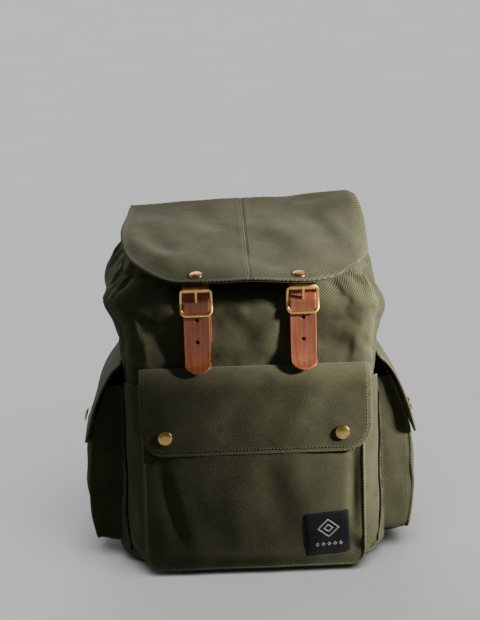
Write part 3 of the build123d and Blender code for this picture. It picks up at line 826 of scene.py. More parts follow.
# the right side leans in under the lid, and the left side has a waist above its pocket
toward_right = np.clip(shell[..., 0] / 150, 0, 1.1) ** 3
shell[..., 0] -= toward_right * (9.0 * hump(H, 318, 30) + 3.5 * hump(H, 262, 34))
shell[..., 2] -= toward_right * 7.0 * hump(H, 314, 34)
toward_left = np.clip(-shell[..., 0] / 150, 0, 1.1) ** 3
shell[..., 0] += toward_left * 5.0 * hump(H, 272, 26)
around = np.interp(np.arange(total) / FINE, np.arange(len(ring_place)), ring_place)
seam_wear = np.clip(hump(1 - np.abs(S), 0, 0.05) * 0.9 + hump(H, 4, 7) * 0.5, 0, 1)
shell_normal = grid_normals(shell, True)
bag_thread = Stitches()

for k, name in enumerate(("front_panel", "right_side_panel", "back_panel", "left_side_panel")):
    cols = np.arange(corner[k], corner[k + 1] + 1) % total
    P = shell[cols].copy()
    place = around[cols].copy()
    if place[-1] < place[0]:
        place[-1] = place[-2] + (place[-2] - place[-3])
    flat = grid((place - place.mean())[:, None], H[cols])
    ob = slab(name, P, 2.5, flat, seam_wear[cols])
    finish_piece(ob, CANVAS, "bag", [name])
    if name == "back_panel":
        for col in (4, -5):
            bag_thread.sew(shell[cols[col], 4:-4], shell_normal[cols[col], 4:-4], lift=0.05)

inside = soften(shell - shell_normal * 2.7, 2, True)
inside[:, 0] += [0, 0, 0.8]
flat = grid(around[:, None], H)
lining = slab("lining_wall", inside[:, 1:], 1.0, flat[:, 1:], None, True)
finish_piece(lining, FACING, "bag", ["lining"])


def floor_panel(ring_shape, z, step=5.0):
    w, d, r = ring_shape
    panel = rounded_panel(w / 2, -d / 2, d / 2, r, r, step, 54)
    return panel, grid(panel.X, panel.V, z)


panel, P = floor_panel((278, 160, 34), 4.6)
finish_piece(slab("lining_floor", P, 1.0, panel.flat()), FACING, "bag")
panel, P = floor_panel((282, 163, 34), 2.9)
ob = slab("base_panel", P, 2.7, panel.flat(),
    np.clip(np.maximum(np.abs(panel.X) / 141, np.abs(panel.V) / 81.5) ** 12, 0, 1))
finish_piece(ob, CANVAS, "bag", ["base_panel"])
seam_ring = even_path(tilted(outline_ring(285, 165, 35), 3.2, 0, 0), 4.0, True)
finish_piece(sweep("base_piping", seam_ring, 1.7, 8, True, wear=0.4), CANVAS, "bag")

# ---------------------------------------------------------------- neck hem and eyelets
HEM_LOW, HEM_HIGH = (12, 14, 280, 152, 46), (14, 15, 262, 148, 42)  # centre y, tilt, width, depth, radius
HEM_Z, HEM_TALL, HEM_ROWS, HEM_CELLS = 345, 16.3, 9, (72, 44, 72, 44)
hem_rows = []
for t in np.linspace(0, 1, HEM_ROWS):
    yc, tilt, w, d, r = [a + (b - a) * t for a, b in zip(HEM_LOW, HEM_HIGH)]
    ring = outline_ring(w + 1.0, d + 1.0, r, HEM_CELLS)
    hem_rows.append(tilted(ring, HEM_Z + HEM_TALL * t, yc, tilt))
hem = np.stack(hem_rows, 1)
# the eyelets' middles: four in front, and two on each side
co = cad_points("drawstring_eyelets")
eyelets = [co[(np.abs(co[:, 0] - x) < 7) & (co[:, 1] < -45)] for x in (-72, -24, 24, 72)]
for sign in (-1, 1):
    near = co[co[:, 0] * sign > 110]
    for y in (-22, 22):
        eyelets.append(near[np.abs(near[:, 1] - np.mean(near[:, 1]) - y * math.cos(math.radians(15))) < 12])
eyelets = [(near.min(0) + near.max(0)) / 2 for near in eyelets]
calm = np.ones(hem.shape[:2])
for e in eyelets:
    calm *= 1 - np.exp(-(np.linalg.norm(hem - e, axis=-1) / 11) ** 2)
turn = np.arange(hem.shape[0])[:, None] / hem.shape[0] * math.tau
wave = np.sin(turn * 24 + 1.3 * np.sin(turn * 5)) * 1.3 + 0.5 * np.sin(turn * 41)
level = np.linspace(0, 1, HEM_ROWS)[None]
lip = 0.9 * hump(level, 1.0, 0.16) + 0.5 * hump(level, 0.0, 0.14)
hem = hem + grid_normals(hem, True) * (wave * calm * (1 - 0.4 * level) + lip)[..., None]
hem = refine(hem, 2, True)
flat = np.stack(np.meshgrid(np.arange(hem.shape[0]) * 1.75, np.linspace(0, 16, hem.shape[1]), indexing="ij"),
    -1)
wear = np.broadcast_to(hump(np.linspace(0, 1, hem.shape[1]), 1, 0.15)[None] * 0.8, hem.shape[:2])
ob = slab("neck_hem", hem, 4.0, flat, wear, True)
for e in eyelets:
    spread = np.linalg.norm(hem - e, axis=-1)
    where = np.unravel_index(np.argmin(spread), spread.shape)
    drill(ob, e, grid_normals(hem, True)[where], 3.7)
finish_piece(ob, CANVAS, "bag", ["neck_hem"])
N = grid_normals(hem, True)
for row in (3, 13):
    line = np.vstack([hem[:, row], hem[:1, row]])
    bag_thread.sew(line, np.vstack([N[:, row], N[:1, row]]), lift=0.05)

# ---------------------------------------------------------------- front pocket
LEAN = math.radians(4.1)
POCKET_HALF, POCKET_HIGH, POCKET_R = 122, 210, 16


def pocket_point(x, z, out):
    """Place in the front pocket's frame: along its panel, up it and out of it."""
    y = -119.5 - out * math.cos(LEAN) + z * math.sin(LEAN)
    return grid(x, y, 8 + out * math.sin(LEAN) + z * math.cos(LEAN))


def pouch(name, panel, panel_point, panel_out, foot_point, outline, foot, bow, ridge=1.6):
    """A pocket: a bulged panel, and a gusset sewn round it and down to the body."""
    P = panel_point(panel.X, panel.V, panel_out(panel.X, panel.V))
    edge_near = np.minimum(panel.half[None] - np.abs(panel.X), np.maximum(panel.V - panel.v[0], 0))
    wear = np.clip(np.exp(-np.maximum(edge_near, 0) / 3.0), 0, 1) * 0.9
    wear = np.maximum(wear, np.exp(-(panel.v[-1] - panel.V) / 3.0) * 0.7)
    panel.lay(P)
    finish_piece(slab(name + "_panel", P, 2.5, panel.flat(), wear), CANVAS, "bag", [name + "_panel"])
    rim = u_path(*outline)
    base = resample(u_path(*foot), len(rim))
    start, _ = panel.at(rim[:, 0], rim[:, 1])
    end = foot_point(base[:, 0], base[:, 1])
    t = np.linspace(0, 1, 15)[None, :, None]
    G = start[:, None] * (1 - t) + end[:, None] * t
    N = grid_normals(G)
    middle = G.mean((0, 1))
    flipped = ((G - middle) * N).sum() < 0
    if flipped:
        N = -N
    s = t[..., 0]
    along = np.linspace(0, 1, len(rim))[:, None]
    swell = bow * np.sin(math.pi * s) ** 0.8 + ridge * hump(s, 0.0, 0.05) + 0.9 * hump(s, 1.0, 0.07)
    swell = swell + 0.8 * ripple(along * len(rim) * 2, s * 34, 30, 21) * np.sin(math.pi * s)
    G = G + N * swell[..., None]
    flat = grid(along * len(rim) * 2, s * 38)
    wear = np.broadcast_to(np.clip(hump(s, 0, 0.08) + 0.5 * hump(s, 1, 0.06), 0, 1), G.shape[:2])
    if flipped:
        G, flat, wear = G[::-1], flat[::-1], wear[::-1]
    G = refine(G, 2)
    flat = refine(flat, 2)
    wear = refine(np.ascontiguousarray(wear)[..., None], 2)[..., 0]
    finish_piece(slab(name + "_gusset", G, 2.5, flat, wear), CANVAS, "bag", [name + "_gusset"])
    N = grid_normals(G)
    for row in (5, -4):
        bag_thread.sew(G[3:-3, row], N[3:-3, row], lift=0.05)
    rolled = start + unit(panel.at(rim[:, 0], rim[:, 1])[1]) * -0.9 + unit(start - middle) * 0.4
    finish_piece(sweep(name + "_edge_seam", even_path(rolled, 3), 1.35, 8, wear=0.8), CANVAS, "bag")
    return panel


def front_out(x, z):
    """How far the front pocket's panel stands out of its frame."""
    a, b = x / POCKET_HALF, z / POCKET_HIGH
    out = 2.5 + 5.5 * (1 - a**4) * np.sin(math.pi * np.clip(b * 0.92 + 0.06, 0, 1)) ** 0.7
    out = out - 4.0 * hump(x, 110, 8) * hump(z, 20, 9)
    out = out + folds(
        x, z,
        ((112, 150), (109, 36), 6, -4.2),
        ((-108, 140), (-84, 24), 9, -2.6),
        ((-96, 120), (-60, 10), 10, 2.2),
        ((40, 120), (70, 20), 16, 2.2),
        ((10, 130), (34, 24), 14, -1.8),
        ((-30, 110), (-14, 14), 14, 1.8),
        ((-110, 14), (100, 10), 7, 2.0),
    )
    return out + 0.7 * ripple(x, z, 60, 31) * np.clip((POCKET_HALF - np.abs(x)) / 20, 0, 1)


panel = rounded_panel(POCKET_HALF, 0, POCKET_HIGH, POCKET_R, 0, 3.0, 96)
front_panel_grid = pouch(
    "front_pocket", panel, pocket_point, front_out,
    lambda x, z: grid(x, -86.4, z),
    (POCKET_HALF, 0, POCKET_HIGH, POCKET_R), (141, 13, 218, 24), 3.0,
)
for sign in (-1, 1):
    seam = np.array([[sign * 143.2, -85.6, z] for z in np.linspace(20, 198, 50)])
    seam[:, 0] += sign * (1.0 * ripple(seam[:, 2], 0, 70, 7) - 2.0 * hump(seam[:, 2], 20, 16))
    finish_piece(sweep(("left" if sign < 0 else "right") + "_front_piping", seam, 1.3, 8), BINDING,
        "bag")

# Woven patch, with a plain diamond motif
PATCH_HALF = 24
patch = rounded_panel(PATCH_HALF, -PATCH_HALF, PATCH_HALF, 2, 2, 2.5, 22)
PATCH_AT, PATCH_TURN = (81.0, 38.0), math.radians(2.6)


def on_patch(x, z, lift):
    """Places on the pocket's front, lift mm above it, in the patch's own directions."""
    c, s = math.cos(PATCH_TURN), math.sin(PATCH_TURN)
    along, up = np.ravel(x) * c - np.ravel(z) * s, np.ravel(x) * s + np.ravel(z) * c
    place, normal = front_panel_grid.at(along + PATCH_AT[0], up + PATCH_AT[1])
    return (place + normal * lift).reshape(np.shape(x) + (3,)), normal


P, _ = on_patch(patch.X, patch.V, 1.15)
edge = np.maximum(np.abs(patch.X), np.abs(patch.V)) / PATCH_HALF
finish_piece(slab("label_patch", P, 0.9, patch.flat(), edge**14 * 0.6), PATCH, "bag", ["label_patch"])
patch_thread = Stitches()
border = np.vstack([u_path(21.5, -21.5, 21.5, 1.5), [[-21.5, 21.5]]])
place, normal = on_patch(border[:, 0], border[:, 1], 1.2)
patch_thread.sew(place, normal, 3.2, 2.2, 0.32, 0.0)
patch_thread.build("label_patch_stitching", "bag", BINDING)
motif_faces, motif_verts = [], []


def diamond(cx, cz, w, h, t):
    """A woven diamond outline of the given half width and height, t wide."""
    outer = np.array([(0, -h), (w, 0), (0, h), (-w, 0)], float)
    steps = np.linspace(0, 1, 9)[:-1, None]
    o = np.vstack([outer[k] + (outer[(k + 1) % 4] - outer[k]) * steps for k in range(4)])
    i = o * (1 - t / w)
    rings = [on_patch(*(ring + [cx, cz]).T, lift)[0]
             for ring, lift in ((o, 1.15), (o * 0.5 + i * 0.5, 1.55), (i, 1.15), (o, 0.9), (i, 0.9))]
    base, m = sum(len(a) for a in motif_verts), len(o)
    motif_verts.extend(rings)
    # the ribs' two slopes, the outer wall, the inner wall and the underside
    for a, b in ((0, 1), (1, 2), (3, 0), (2, 4), (4, 3)):
        a, b = base + a * m, base + b * m
        for k in range(m):
            n = (k + 1) % m
            motif_faces.append([a + k, a + n, b + n, b + k])


diamond(0, 5, 13, 11, 2.4)
diamond(0, 5, 6, 5, 2.4)
for k in range(-2, 3):
    diamond(k * 6.6, -13.5, 2.6, 2.6, 1.7)
motif = np.vstack(motif_verts)
ob = add_mesh("label_patch_motif", motif, motif_faces, motif[:, (0, 2)], np.zeros(len(motif)))
finish_piece(ob, MOTIF, "bag")


# ---------------------------------------------------------------- flaps
def hem_gap(panel, low_r):
    """Distance to the free edges."""
    x, v = np.abs(panel.X), panel.V
    low = panel.v[0]
    half = panel.half.max()
    cx, cv = half - low_r, low + low_r
    corner_gap = low_r - np.hypot(np.maximum(x - cx, 0), np.maximum(cv - v, 0))
    return np.where((x > cx) & (v < cv), corner_gap, np.minimum(half - x, v - low))


def hem_relief(gap, inset, raised, groove, width):
    """A doubled hem along the free edge, and the groove that its stitches pull."""
    return raised / (1 + np.exp((gap - inset) / 0.7)) - groove * hump(gap, inset, width)


def flap_piece(name, panel, place, thick, r, extra, inset=5.0):
    """A flap on a body of its own name: raised hem, stitch groove and stitches."""
    gap = hem_gap(panel, r)
    P = place(panel.X, panel.V, hem_relief(gap, inset, 0.55, 0.35, 1.1) + extra(panel.X, panel.V))
    panel.lay(P)
    wear = np.clip(np.exp(-np.maximum(gap, 0) / 2.6) + 0.35 * hump(gap, inset - 2, 2.2), 0, 1)
    ob = slab(name, P, thick, panel.flat(), wear)
    finish_piece(ob, CANVAS, name, [name])
    thread = Stitches()
    half, low, high = panel.half.max(), panel.v[0], panel.v[-1]
    path = u_path(half - inset, low + inset, high - 3, r - inset)
    thread.sew(*panel.at(path[:, 0], path[:, 1]))
    thread.build(name + "_stitching", name)
    return panel


class Profile:
    """A smooth side profile, with its outward normal, by distance along it."""

    def __init__(self, points):
        self.points = even_path(round_path(points, 3), 1.0)
        self.normal = -line_normals(self.points)
        self.s = distances(self.points)

    def at(self, s, lift):
        return [np.interp(s, self.s, self.points[:, k]) + np.interp(s, self.s, self.normal[:, k]) * lift
            for k in (0, 1)]


def front_low(z):
    """(y, z) just in front of the pocket's panel, z up along it."""
    p = pocket_point(0.0, z, 9.1)
    return (p[1], p[2])


FLAP_HALF, FLAP_R = 131.5, 31.0
front_line = Profile([front_low(132), front_low(160), front_low(192), front_low(206), (-112.4, 220.5),
    (-107.6, 228.2), (-99, 232.8), (-88.0, 233.6)])


def front_flap_place(x, v, lift):
    """The flap's left edge is drawn in a little."""
    y, z = front_line.at(v, lift)
    return np.stack([x + 7.0 * np.clip((-x - 90) / (FLAP_HALF - 90), 0, 1) ** 1.4, y, z], -1)


def front_flap_shape(x, v):
    end = front_line.s[-1]
    mid = np.sin(math.pi * np.clip(v / end, 0, 1))
    out = 1.8 * mid * (1 - (x / FLAP_HALF) ** 4) + 0.6 * ripple(x, v, 70, 41) * mid
    out = out + folds(
        x, v,
        ((-40, 20), (20, 88), 15, 1.8),
        ((-100, 30), (-50, 90), 14, -1.6),
        ((60, 30), (112, 84), 13, 1.6),
        ((20, 10), (70, 60), 13, -1.5),
    )
    out = out - 1.6 * hump(np.abs(x), 99, 11) * hump(v, 21, 11)
    return out - 0.8 * hump(v, end - 3.6, 1.8)


end = front_line.s[-1]
panel = rounded_panel(FLAP_HALF, 0, end, FLAP_R, 0, 2.0, 132)
front_flap = flap_piece("front_flap", panel, front_flap_place, 2.6, FLAP_R, front_flap_shape)

SIDE_LEAN = math.radians(1.6)


def side_place(sign, n, y, v):
    """Place in a side pocket's frame: n out of it, y across it and v up it."""
    x = 149.3 + n * math.cos(SIDE_LEAN) - v * math.sin(SIDE_LEAN)
    z = 16 + n * math.sin(SIDE_LEAN) + v * math.cos(SIDE_LEAN)
    return grid(sign * x, y, z)


SIDE_HALF, SIDE_LOW, SIDE_TOP, SIDE_R = 54, 6, 190, 9
SIDE_ARC_V = (SIDE_LOW, 40, 75, 110, 146, 170, SIDE_TOP)
SIDE_ARC_N = (31.5, 38.2, 40, 38.8, 33.0, 25.2, 18.2)


def side_out(y, v, sign):
    n = curve_through(v, SIDE_ARC_V, SIDE_ARC_N)
    out = n + 4.0 * (1 - (y / SIDE_HALF) ** 2) * np.sin(math.pi * np.clip((v - SIDE_LOW) / 140, 0, 1)) - 1.5
    out = out + folds(
        y, v,
        ((-46, 120), (-34, 20), 8, -3.4),
        ((-30, 130), (-12, 30), 10, 2.4),
        ((10, 100), (26, 20), 9, -2.6),
        ((38, 130), (44, 30), 9, 2.4),
    )
    out = out + 2.8 * hump(np.abs(y), 32, 14) * hump(v, 127, 17)
    return out + 0.8 * ripple(y + 20 * sign, v, 45, 51)


arc = Profile(round_path([(43.8, 121.5), (37.6, 141), (29, 172), (22, 191), (12.6, 208), (3.6, 217.2)], 2))
for sign, side in BOTH_SIDES:
    panel = rounded_panel(SIDE_HALF, SIDE_LOW, SIDE_TOP, SIDE_R, 0, 3.0, 48)

    def side_point(y, v, n, sign=sign):
        return side_place(sign, n, y if sign > 0 else -y, v)

    pouch(
        side + "_side_pocket", panel, side_point, lambda y, v, sign=sign: side_out(y * sign, v, sign),
        lambda y, v, sign=sign: side_place(sign, -1.0, y if sign > 0 else -y, v),
        (SIDE_HALF, SIDE_LOW, SIDE_TOP, SIDE_R), (58, 4, SIDE_TOP, 8), 1.6,
    )
    hem_x = np.linspace(-50, 50, 80)
    bag_thread.sew(*panel.at(hem_x, np.full(80, SIDE_TOP - 5.0)))

    def side_flap_place(y, v, lift, sign=sign):
        n, up = arc.at(v, lift)
        return side_place(sign, n + 0.5, y * sign, up)

    def side_flap_shape(y, v, sign=sign):
        mid = np.sin(math.pi * np.clip(v / arc.s[-1], 0, 1))
        out = 1.0 * mid + 0.9 * ripple(y, v + 30 * sign, 48, 61) * mid
        out = out - 8.5 * np.clip((y * sign - 47) / 18, 0, 1) ** 1.5 * np.clip((arc.s[-1] - v) / 20, 0, 1)
        return out - 1.6 * fold(y, v, (-50, 16), (-20, 70), 10) + 1.6 * fold(y, v, (10, 10), (44, 72), 11)

    end = arc.s[-1]
    panel = rounded_panel(65, 0, end, 20.0, 0, 2.4, 64)
    flap_piece(side + "_side_flap", panel, side_flap_place, 2.8, 20.0, side_flap_shape)

# ---------------------------------------------------------------- lid
SLOPE = math.radians(15)
LID_END = 208.0  # length of the lid from its hinge edge
LID_R, LID_CX, LID_CV = 88, 52, 120  # its front corners: radius and centre
LID_OUT, LID_IN = 4.6, 2.5  # its outer face and its lining above the flat sheet


def lid_base_half(v):
    return np.interp(v, [0, LID_CV], [131, 140])


def lid_point(x, v, h):
    """Place v along the lid from its hinge and h above its flat sheet."""
    y = 88.5 - v * math.cos(SLOPE) - h * math.sin(SLOPE)
    return grid(x, y, 388 - v * math.sin(SLOPE) + h * math.cos(SLOPE))


def lid_height(x, v):
    """How far the soft lid stands above its flat sheet."""
    edge = np.clip((np.abs(x) - 120) / 20, 0, 1.2)
    h = -3.0 * edge**1.7 * np.clip(v / 30, 0, 1)
    h = h + 9.0 * hump(x, 112, 44) * hump(v, 6, 40) * np.clip(v / 5, 0.6, 1)
    h = h - 9.5 * np.clip((x - 121) / 17, 0, 1.3) ** 1.6 * np.clip((170 - v) / 60, 0, 1)
    h = h - 6.0 * hump(x, -131, 60) * hump(v, 0, 50)
    h = h - 3.2 * hump(x, -88, 26) * hump(v, 196, 26)
    h = h + 2.0 * hump(x, -140, 26) * hump(v, 84, 34)
    h = h - 2.0 * hump(x, 0, 40) * hump(v, 110, 60)
    slack = folds(
        x, v,
        ((-96, 176), (-20, 60), 20, 2.6),
        ((-60, 20), (-30, 90), 16, -3.0),
        ((20, 60), (90, 176), 20, 3.0),
        ((66, 30), (104, 120), 15, -3.0),
        ((4, 150), (60, 190), 14, -2.2),
        ((90, 50), (122, 140), 12, 2.4),
        ((-120, 60), (-84, 150), 14, -2.2),
        ((-130, 100), (-70, 196), 13, 2.0),
        ((60, 20), (120, 10), 9, -2.2),
    )
    slack = slack + 0.9 * ripple(x, v, 80, 71) + 0.4 * ripple(x, v, 40, 72)
    front = np.clip((v - 150) / 58, 0, 1)
    slack = slack + front * 1.5 * np.sin((x + 20) / 21.0)
    rivet = hump(np.abs(x), 58, 20) * hump(v, 188, 26)
    h = h + slack * (1 - rivet)
    h = h - 4.6 * np.clip((v - 130) / 70, 0, 1) ** 1.3 * hump(x, 66, 82)
    return h - 0.35 * hump(x, 0, 1.8) + 0.35 * hump(np.abs(x), 4.5, 2.6)


def lid_reach(x, v):
    """The lid lies a little skew: its right side is fuller at the back."""
    right = np.clip(x / 140, 0, 1.1) ** 3
    left = np.clip(-x / 140, 0, 1.1) ** 3
    return x + right * (8.0 * hump(v, 40, 56) - 3.0 * hump(v, 156, 40)) + left * (5.0 * hump(v, 152, 38)
        - 4.5 * hump(v, 74, 42))


def lid_gap(x, v):
    """Distance to the lid's free edge."""
    x = np.abs(x)
    corner = LID_R - np.hypot(x - LID_CX, v - LID_CV)
    side = lid_base_half(v) - x
    return np.where((x > LID_CX) & (v > LID_CV), corner, np.minimum(side, LID_END - v))


def lid_rows(step):
    v = row_places(0.6, LID_END, 10, LID_R, step)
    return v, rounded_half(v, lid_base_half(v), 0.6, LID_END, 10, LID_R)


LID_INSET, LID_WEAVE = 5.2, 0.7  # stitch row from the edge; the lid's twill against the body's
lid_thread = Stitches()
for name, low_s, high_s in (("lid_left_panel", -1.0, 0.0), ("lid_right_panel", 0.0, 1.0)):
    v, half = lid_rows(2.4)
    v, half = v[::-1], half[::-1]
    panel = Panel(v, half, low_s, high_s, 64)
    gap = lid_gap(panel.X, panel.V)
    hem = hem_relief(gap, LID_INSET, 0.6, 0.4, 1.2)
    P = lid_point(lid_reach(panel.X, panel.V), panel.V, LID_OUT + lid_height(panel.X, panel.V) + hem)
    wear = np.clip(np.exp(-np.maximum(gap, 0) / 2.4) * 0.95 + 0.3 * hump(gap, 3.2, 2), 0, 1)
    wear = np.maximum(wear, 0.5 * hump(panel.X, 0, 2.2))
    flat = np.stack([panel.X, -panel.V], -1) * LID_WEAVE
    ob = slab(name, P, 1.9, flat, wear)
    finish_piece(ob, CANVAS, "lid", [name])


def lid_face(x, v):
    return lid_point(lid_reach(x, v), v, LID_OUT - 0.25 + lid_height(x, v))


def on_lid(x, v, d=0.5):
    """Points of the lid's outer face, and its normals there."""
    normal = np.cross(lid_face(x + d, v) - lid_face(x - d, v), lid_face(x, v - d) - lid_face(x, v + d))
    return lid_face(x, v), unit(normal)


fold_v = np.linspace(2, LID_END - 1.2, 120)
fold_at, fold_up = on_lid(np.full(120, -0.9), fold_v)
seam_fold = sweep("lid_seam_fold", fold_at - fold_up * 0.75, 1.5, 10, wear=0.55)
finish_piece(seam_fold, CANVAS, "lid")
phi = np.linspace(0, math.pi / 2, 60)
r = LID_R - LID_INSET
arc_x, arc_v = LID_CX + r * np.sin(math.pi / 2 - phi), LID_CV + r * np.cos(math.pi / 2 - phi)
side_v = np.linspace(8, LID_CV, 60)
edge_x = np.concatenate([lid_base_half(side_v) - LID_INSET, arc_x, np.linspace(LID_CX, 0, 30)[1:]])
edge_v = np.concatenate([side_v, arc_v, np.full(29, LID_END - LID_INSET)])
full_x = np.concatenate([-edge_x, edge_x[::-1][1:]])
full_v = np.concatenate([edge_v, edge_v[::-1][1:]])
path = even_path(np.stack([full_x, full_v], 1), 1.5)
lid_thread.sew(*on_lid(path[:, 0], path[:, 1]))
lid_thread.sew(*on_lid(np.full(150, 3.6), np.linspace(6, LID_END - 3, 150)))
x = np.linspace(-124, 124, 160)
lid_thread.sew(*on_lid(x, np.full(160, 6.0)))
lid_thread.build("lid_stitching", "lid")

v, half = lid_rows(4.0)
panel = Panel(v[::-1], half[::-1] - 0.2, -1, 1, 90)
P = lid_point(lid_reach(panel.X, panel.V), panel.V, LID_IN + lid_height(panel.X, panel.V))
ob = slab("lid_lining", P, 1.1, panel.flat(), np.exp(-np.maximum(lid_gap(panel.X, panel.V), 0) / 2.0))
finish_piece(ob, FACING, "lid", ["lid_lining"])

x = np.linspace(-131, 131, 90)
back_line = lid_point(x, np.full(90, 0.0), 2.6 + lid_height(x, np.full(90, 1.0)))
ob = sweep("lid_piping", back_line, 1.9 + 0.12 * np.sin(np.arange(90) * 1.9), 10, wear=0.3)
finish_piece(ob, CANVAS, "lid", ["lid_piping"])

# ---------------------------------------------------------------- rivets and press-stud caps
CAP = ((0.3, -0.3), (7.1, -0.3), (7.8, 0.1), (8.0, 0.7), (7.8, 1.3), (7.2, 1.65), (6.5, 1.62), (6.1, 1.8),
    (4.8, 2.25), (3.0, 2.5), (1.2, 2.6), (0.2, 2.6))
RIVET = ((0.3, -0.4), (6.6, -0.4), (7.4, 0.1), (7.5, 0.6), (6.9, 1.2), (5.4, 1.8), (3.4, 2.25), (1.4, 2.4),
    (0.2, 2.4))
SIDE_CAP_TILT = math.radians(17)
caps = []
for x in (-99, 99):
    place, normal = front_flap.at(np.array([float(x)]), np.array([21.4]))
    caps.append(lathe(CAP, place[0] - normal[0] * 0.1, normal[0]))
finish_piece(joined("front_snap_caps", caps), AGED, "front_flap", ["front_snap_caps"])
for sign, side in BOTH_SIDES:
    name = side + "_side_snap_cap"
    co = cad_points(name)
    axis = unit(np.array([sign * math.cos(SIDE_CAP_TILT), 0.0, math.sin(SIDE_CAP_TILT)]))
    middle = co[co @ axis > (co @ axis).max() - 0.6].mean(0)
    cap = joined(name, [lathe(CAP, middle - axis * 2.3, axis)])
    finish_piece(cap, AGED, side + "_side_flap", [name])
rivets = []
for x in (-58.5, 55.0):
    place, normal = on_lid(np.array([x]), np.array([193.5]))
    rivets.append(lathe(RIVET, place[0] + normal[0] * 0.2, normal[0]))
    rivets.append(lathe(((2.0, -7.6), (2.0, 0)), place[0], normal[0], 12))
    rivets.append(lathe(((0.3, -8.2), (3.8, -8.2), (4.0, -7.8), (3.8, -7.4), (0.3, -7.4)), place[0], normal[0],
        20))
finish_piece(joined("lid_rivets", rivets), COPPER, "lid", ["lid_rivets"])

# ---------------------------------------------------------------- leather straps
STRAP_HALF, STRAP_THICK, STRAP_EDGE = 13.9, 2.1, 0.55
BAR_Y, BAR_Z = -89.5, 309.0  # the buckles' middle bars
FRAME_X, FRAME_Z, FRAME_R, FRAME_BOW = 16.7, 14.7, 5.2, 5.3  # a frame's half sizes, corners and bow


def strap_grid(line, half, x0, step=1.5, nu=15, crown=0.35):
    """A strap's outer face along a (y, z) line, a little domed."""
    pts = even_path(line, step)
    s = np.linspace(-1, 1, nu)[:, None]
    n = line_normals(pts)
    lift = crown * (1 - s**4)
    P = grid(x0 + s * half, pts[None, :, 0] + n[None, :, 0] * lift, pts[None, :, 1] + n[None, :, 1] * lift)
    flat = grid(s * 15, distances(pts)[None])
    return P, flat, np.broadcast_to(np.abs(s) ** 10, P.shape[:2])


def face_y(sign, P, *maps):
    """Turns a grid over when its outer face doesn't look along sign * Y."""
    turned = grid_normals(P)[..., 1].mean() * sign < 0
    return [a[::-1] if turned else a for a in (P,) + maps]


def tongue(line, half, x0, nu=21, rows=52, crown=0.35):
    """A strap end with a half-round tip: its columns stop along the tip's arc."""
    pts = even_path(round_path(line, 3), 0.5)
    at = np.arange(len(pts)) * 0.5
    n = line_normals(pts)
    s = np.sin(np.linspace(-math.pi / 2, math.pi / 2, nu))[:, None]
    reach = at[-1] - half * (1 - np.sqrt(1 - np.minimum(s**2, 1)))
    place = reach * np.linspace(0, 1, rows)[None]
    y, z, ny, nz = (np.interp(place, at, a) for a in (pts[:, 0], pts[:, 1], n[:, 0], n[:, 1]))
    lift = crown * (1 - s**4)
    P = grid(x0 + s * half, y + ny * lift, z + nz * lift)
    flat = grid(s * 15, place)
    return P, flat, np.maximum(np.abs(s) ** 10, np.exp((place - reach) / 1.2))


def closing_strap(side, sign, x0):
    """The part sewn under the lid and folded back, and the free tail with its two holes."""
    def under_lid(v):
        return lid_point(x0, v, 0.7 + lid_height(np.array([x0]), np.array([float(v)]))[0])[1:]

    line = [under_lid(v) for v in (165, 180, 190)]
    z = line[-1][1]
    line += [(-103.8, z - 2.0), (-102.0, z - 4.0), (-97.0, 330.4), (-92.0, 328.8), (-90.4, 323.9)]
    line += [(-91.6, 316), (-95.0, 309), (-93.6, 301), (-92.9, 293.4)]
    P, flat, wear = face_y(-1, *strap_grid(round_path(line, 2), STRAP_HALF, x0))
    ob = slab(side + "_lid_strap", P, STRAP_THICK, flat, wear, edge=STRAP_EDGE)
    finish_piece(ob, LEATHER, "lid", [side + "_lid_strap"])
    tip_z = 234.2 - (1.5 if sign < 0 else 0.0)
    tail = [(-93.0, 292.6), (-94.0, 270), (-93.4, 252), (-96.0, 243), (-103, 240.2), (-108.6, 237.6),
        (-112.2, tip_z)]
    P, flat, wear = tongue(tail, STRAP_HALF, x0)
    ob = slab(side + "_strap_tail", P[::-1], STRAP_THICK, flat[::-1], wear[::-1], edge=STRAP_EDGE)
    for z in (288.2, 263.6):
        drill(ob, (x0, -93.0, z), (0, 1, 0), 2.2)
    finish_piece(ob, LEATHER, side + "_strap_tail", [side + "_strap_tail"])


def at_bar(*places):
    """(y, z) places given from the middle bar."""
    return [(BAR_Y + y, BAR_Z + z) for y, z in places]


def buckle_tab(side, sign, x0):
    """A folded leather loop round the middle bar, in two halves so that the prong passes between them."""
    line = [(-87.6, 262.5), (-87.7, 280), (-87.8, 298), (-86.6, 306)]
    line += at_bar((3.0, 1.2), (0.6, 3.1), (-2.4, 1.8), (-2.9, -1.5))
    line += [(-90.3, 303.5), (-89.3, 300), (-89.3, 296), (-89.25, 280), (-89.2, 263)]
    line = round_path(line, 2)
    shift = 1.7 if sign < 0 else 0  # the left tab shows a little beside its strap
    for a, b, name, replaced in (
        (-14.4, -2.7, side + "_buckle_tab", [side + "_buckle_tab"]),
        (2.7, 14.4, side + "_buckle_tab_half", []),
    ):
        P, flat, wear = strap_grid(line, (b - a) / 2, x0 + (a + b) / 2 + shift, 1.2, 9, 0.1)
        finish_piece(slab(name, P, 1.2, flat, wear, edge=STRAP_EDGE), LEATHER, "bag", replaced)


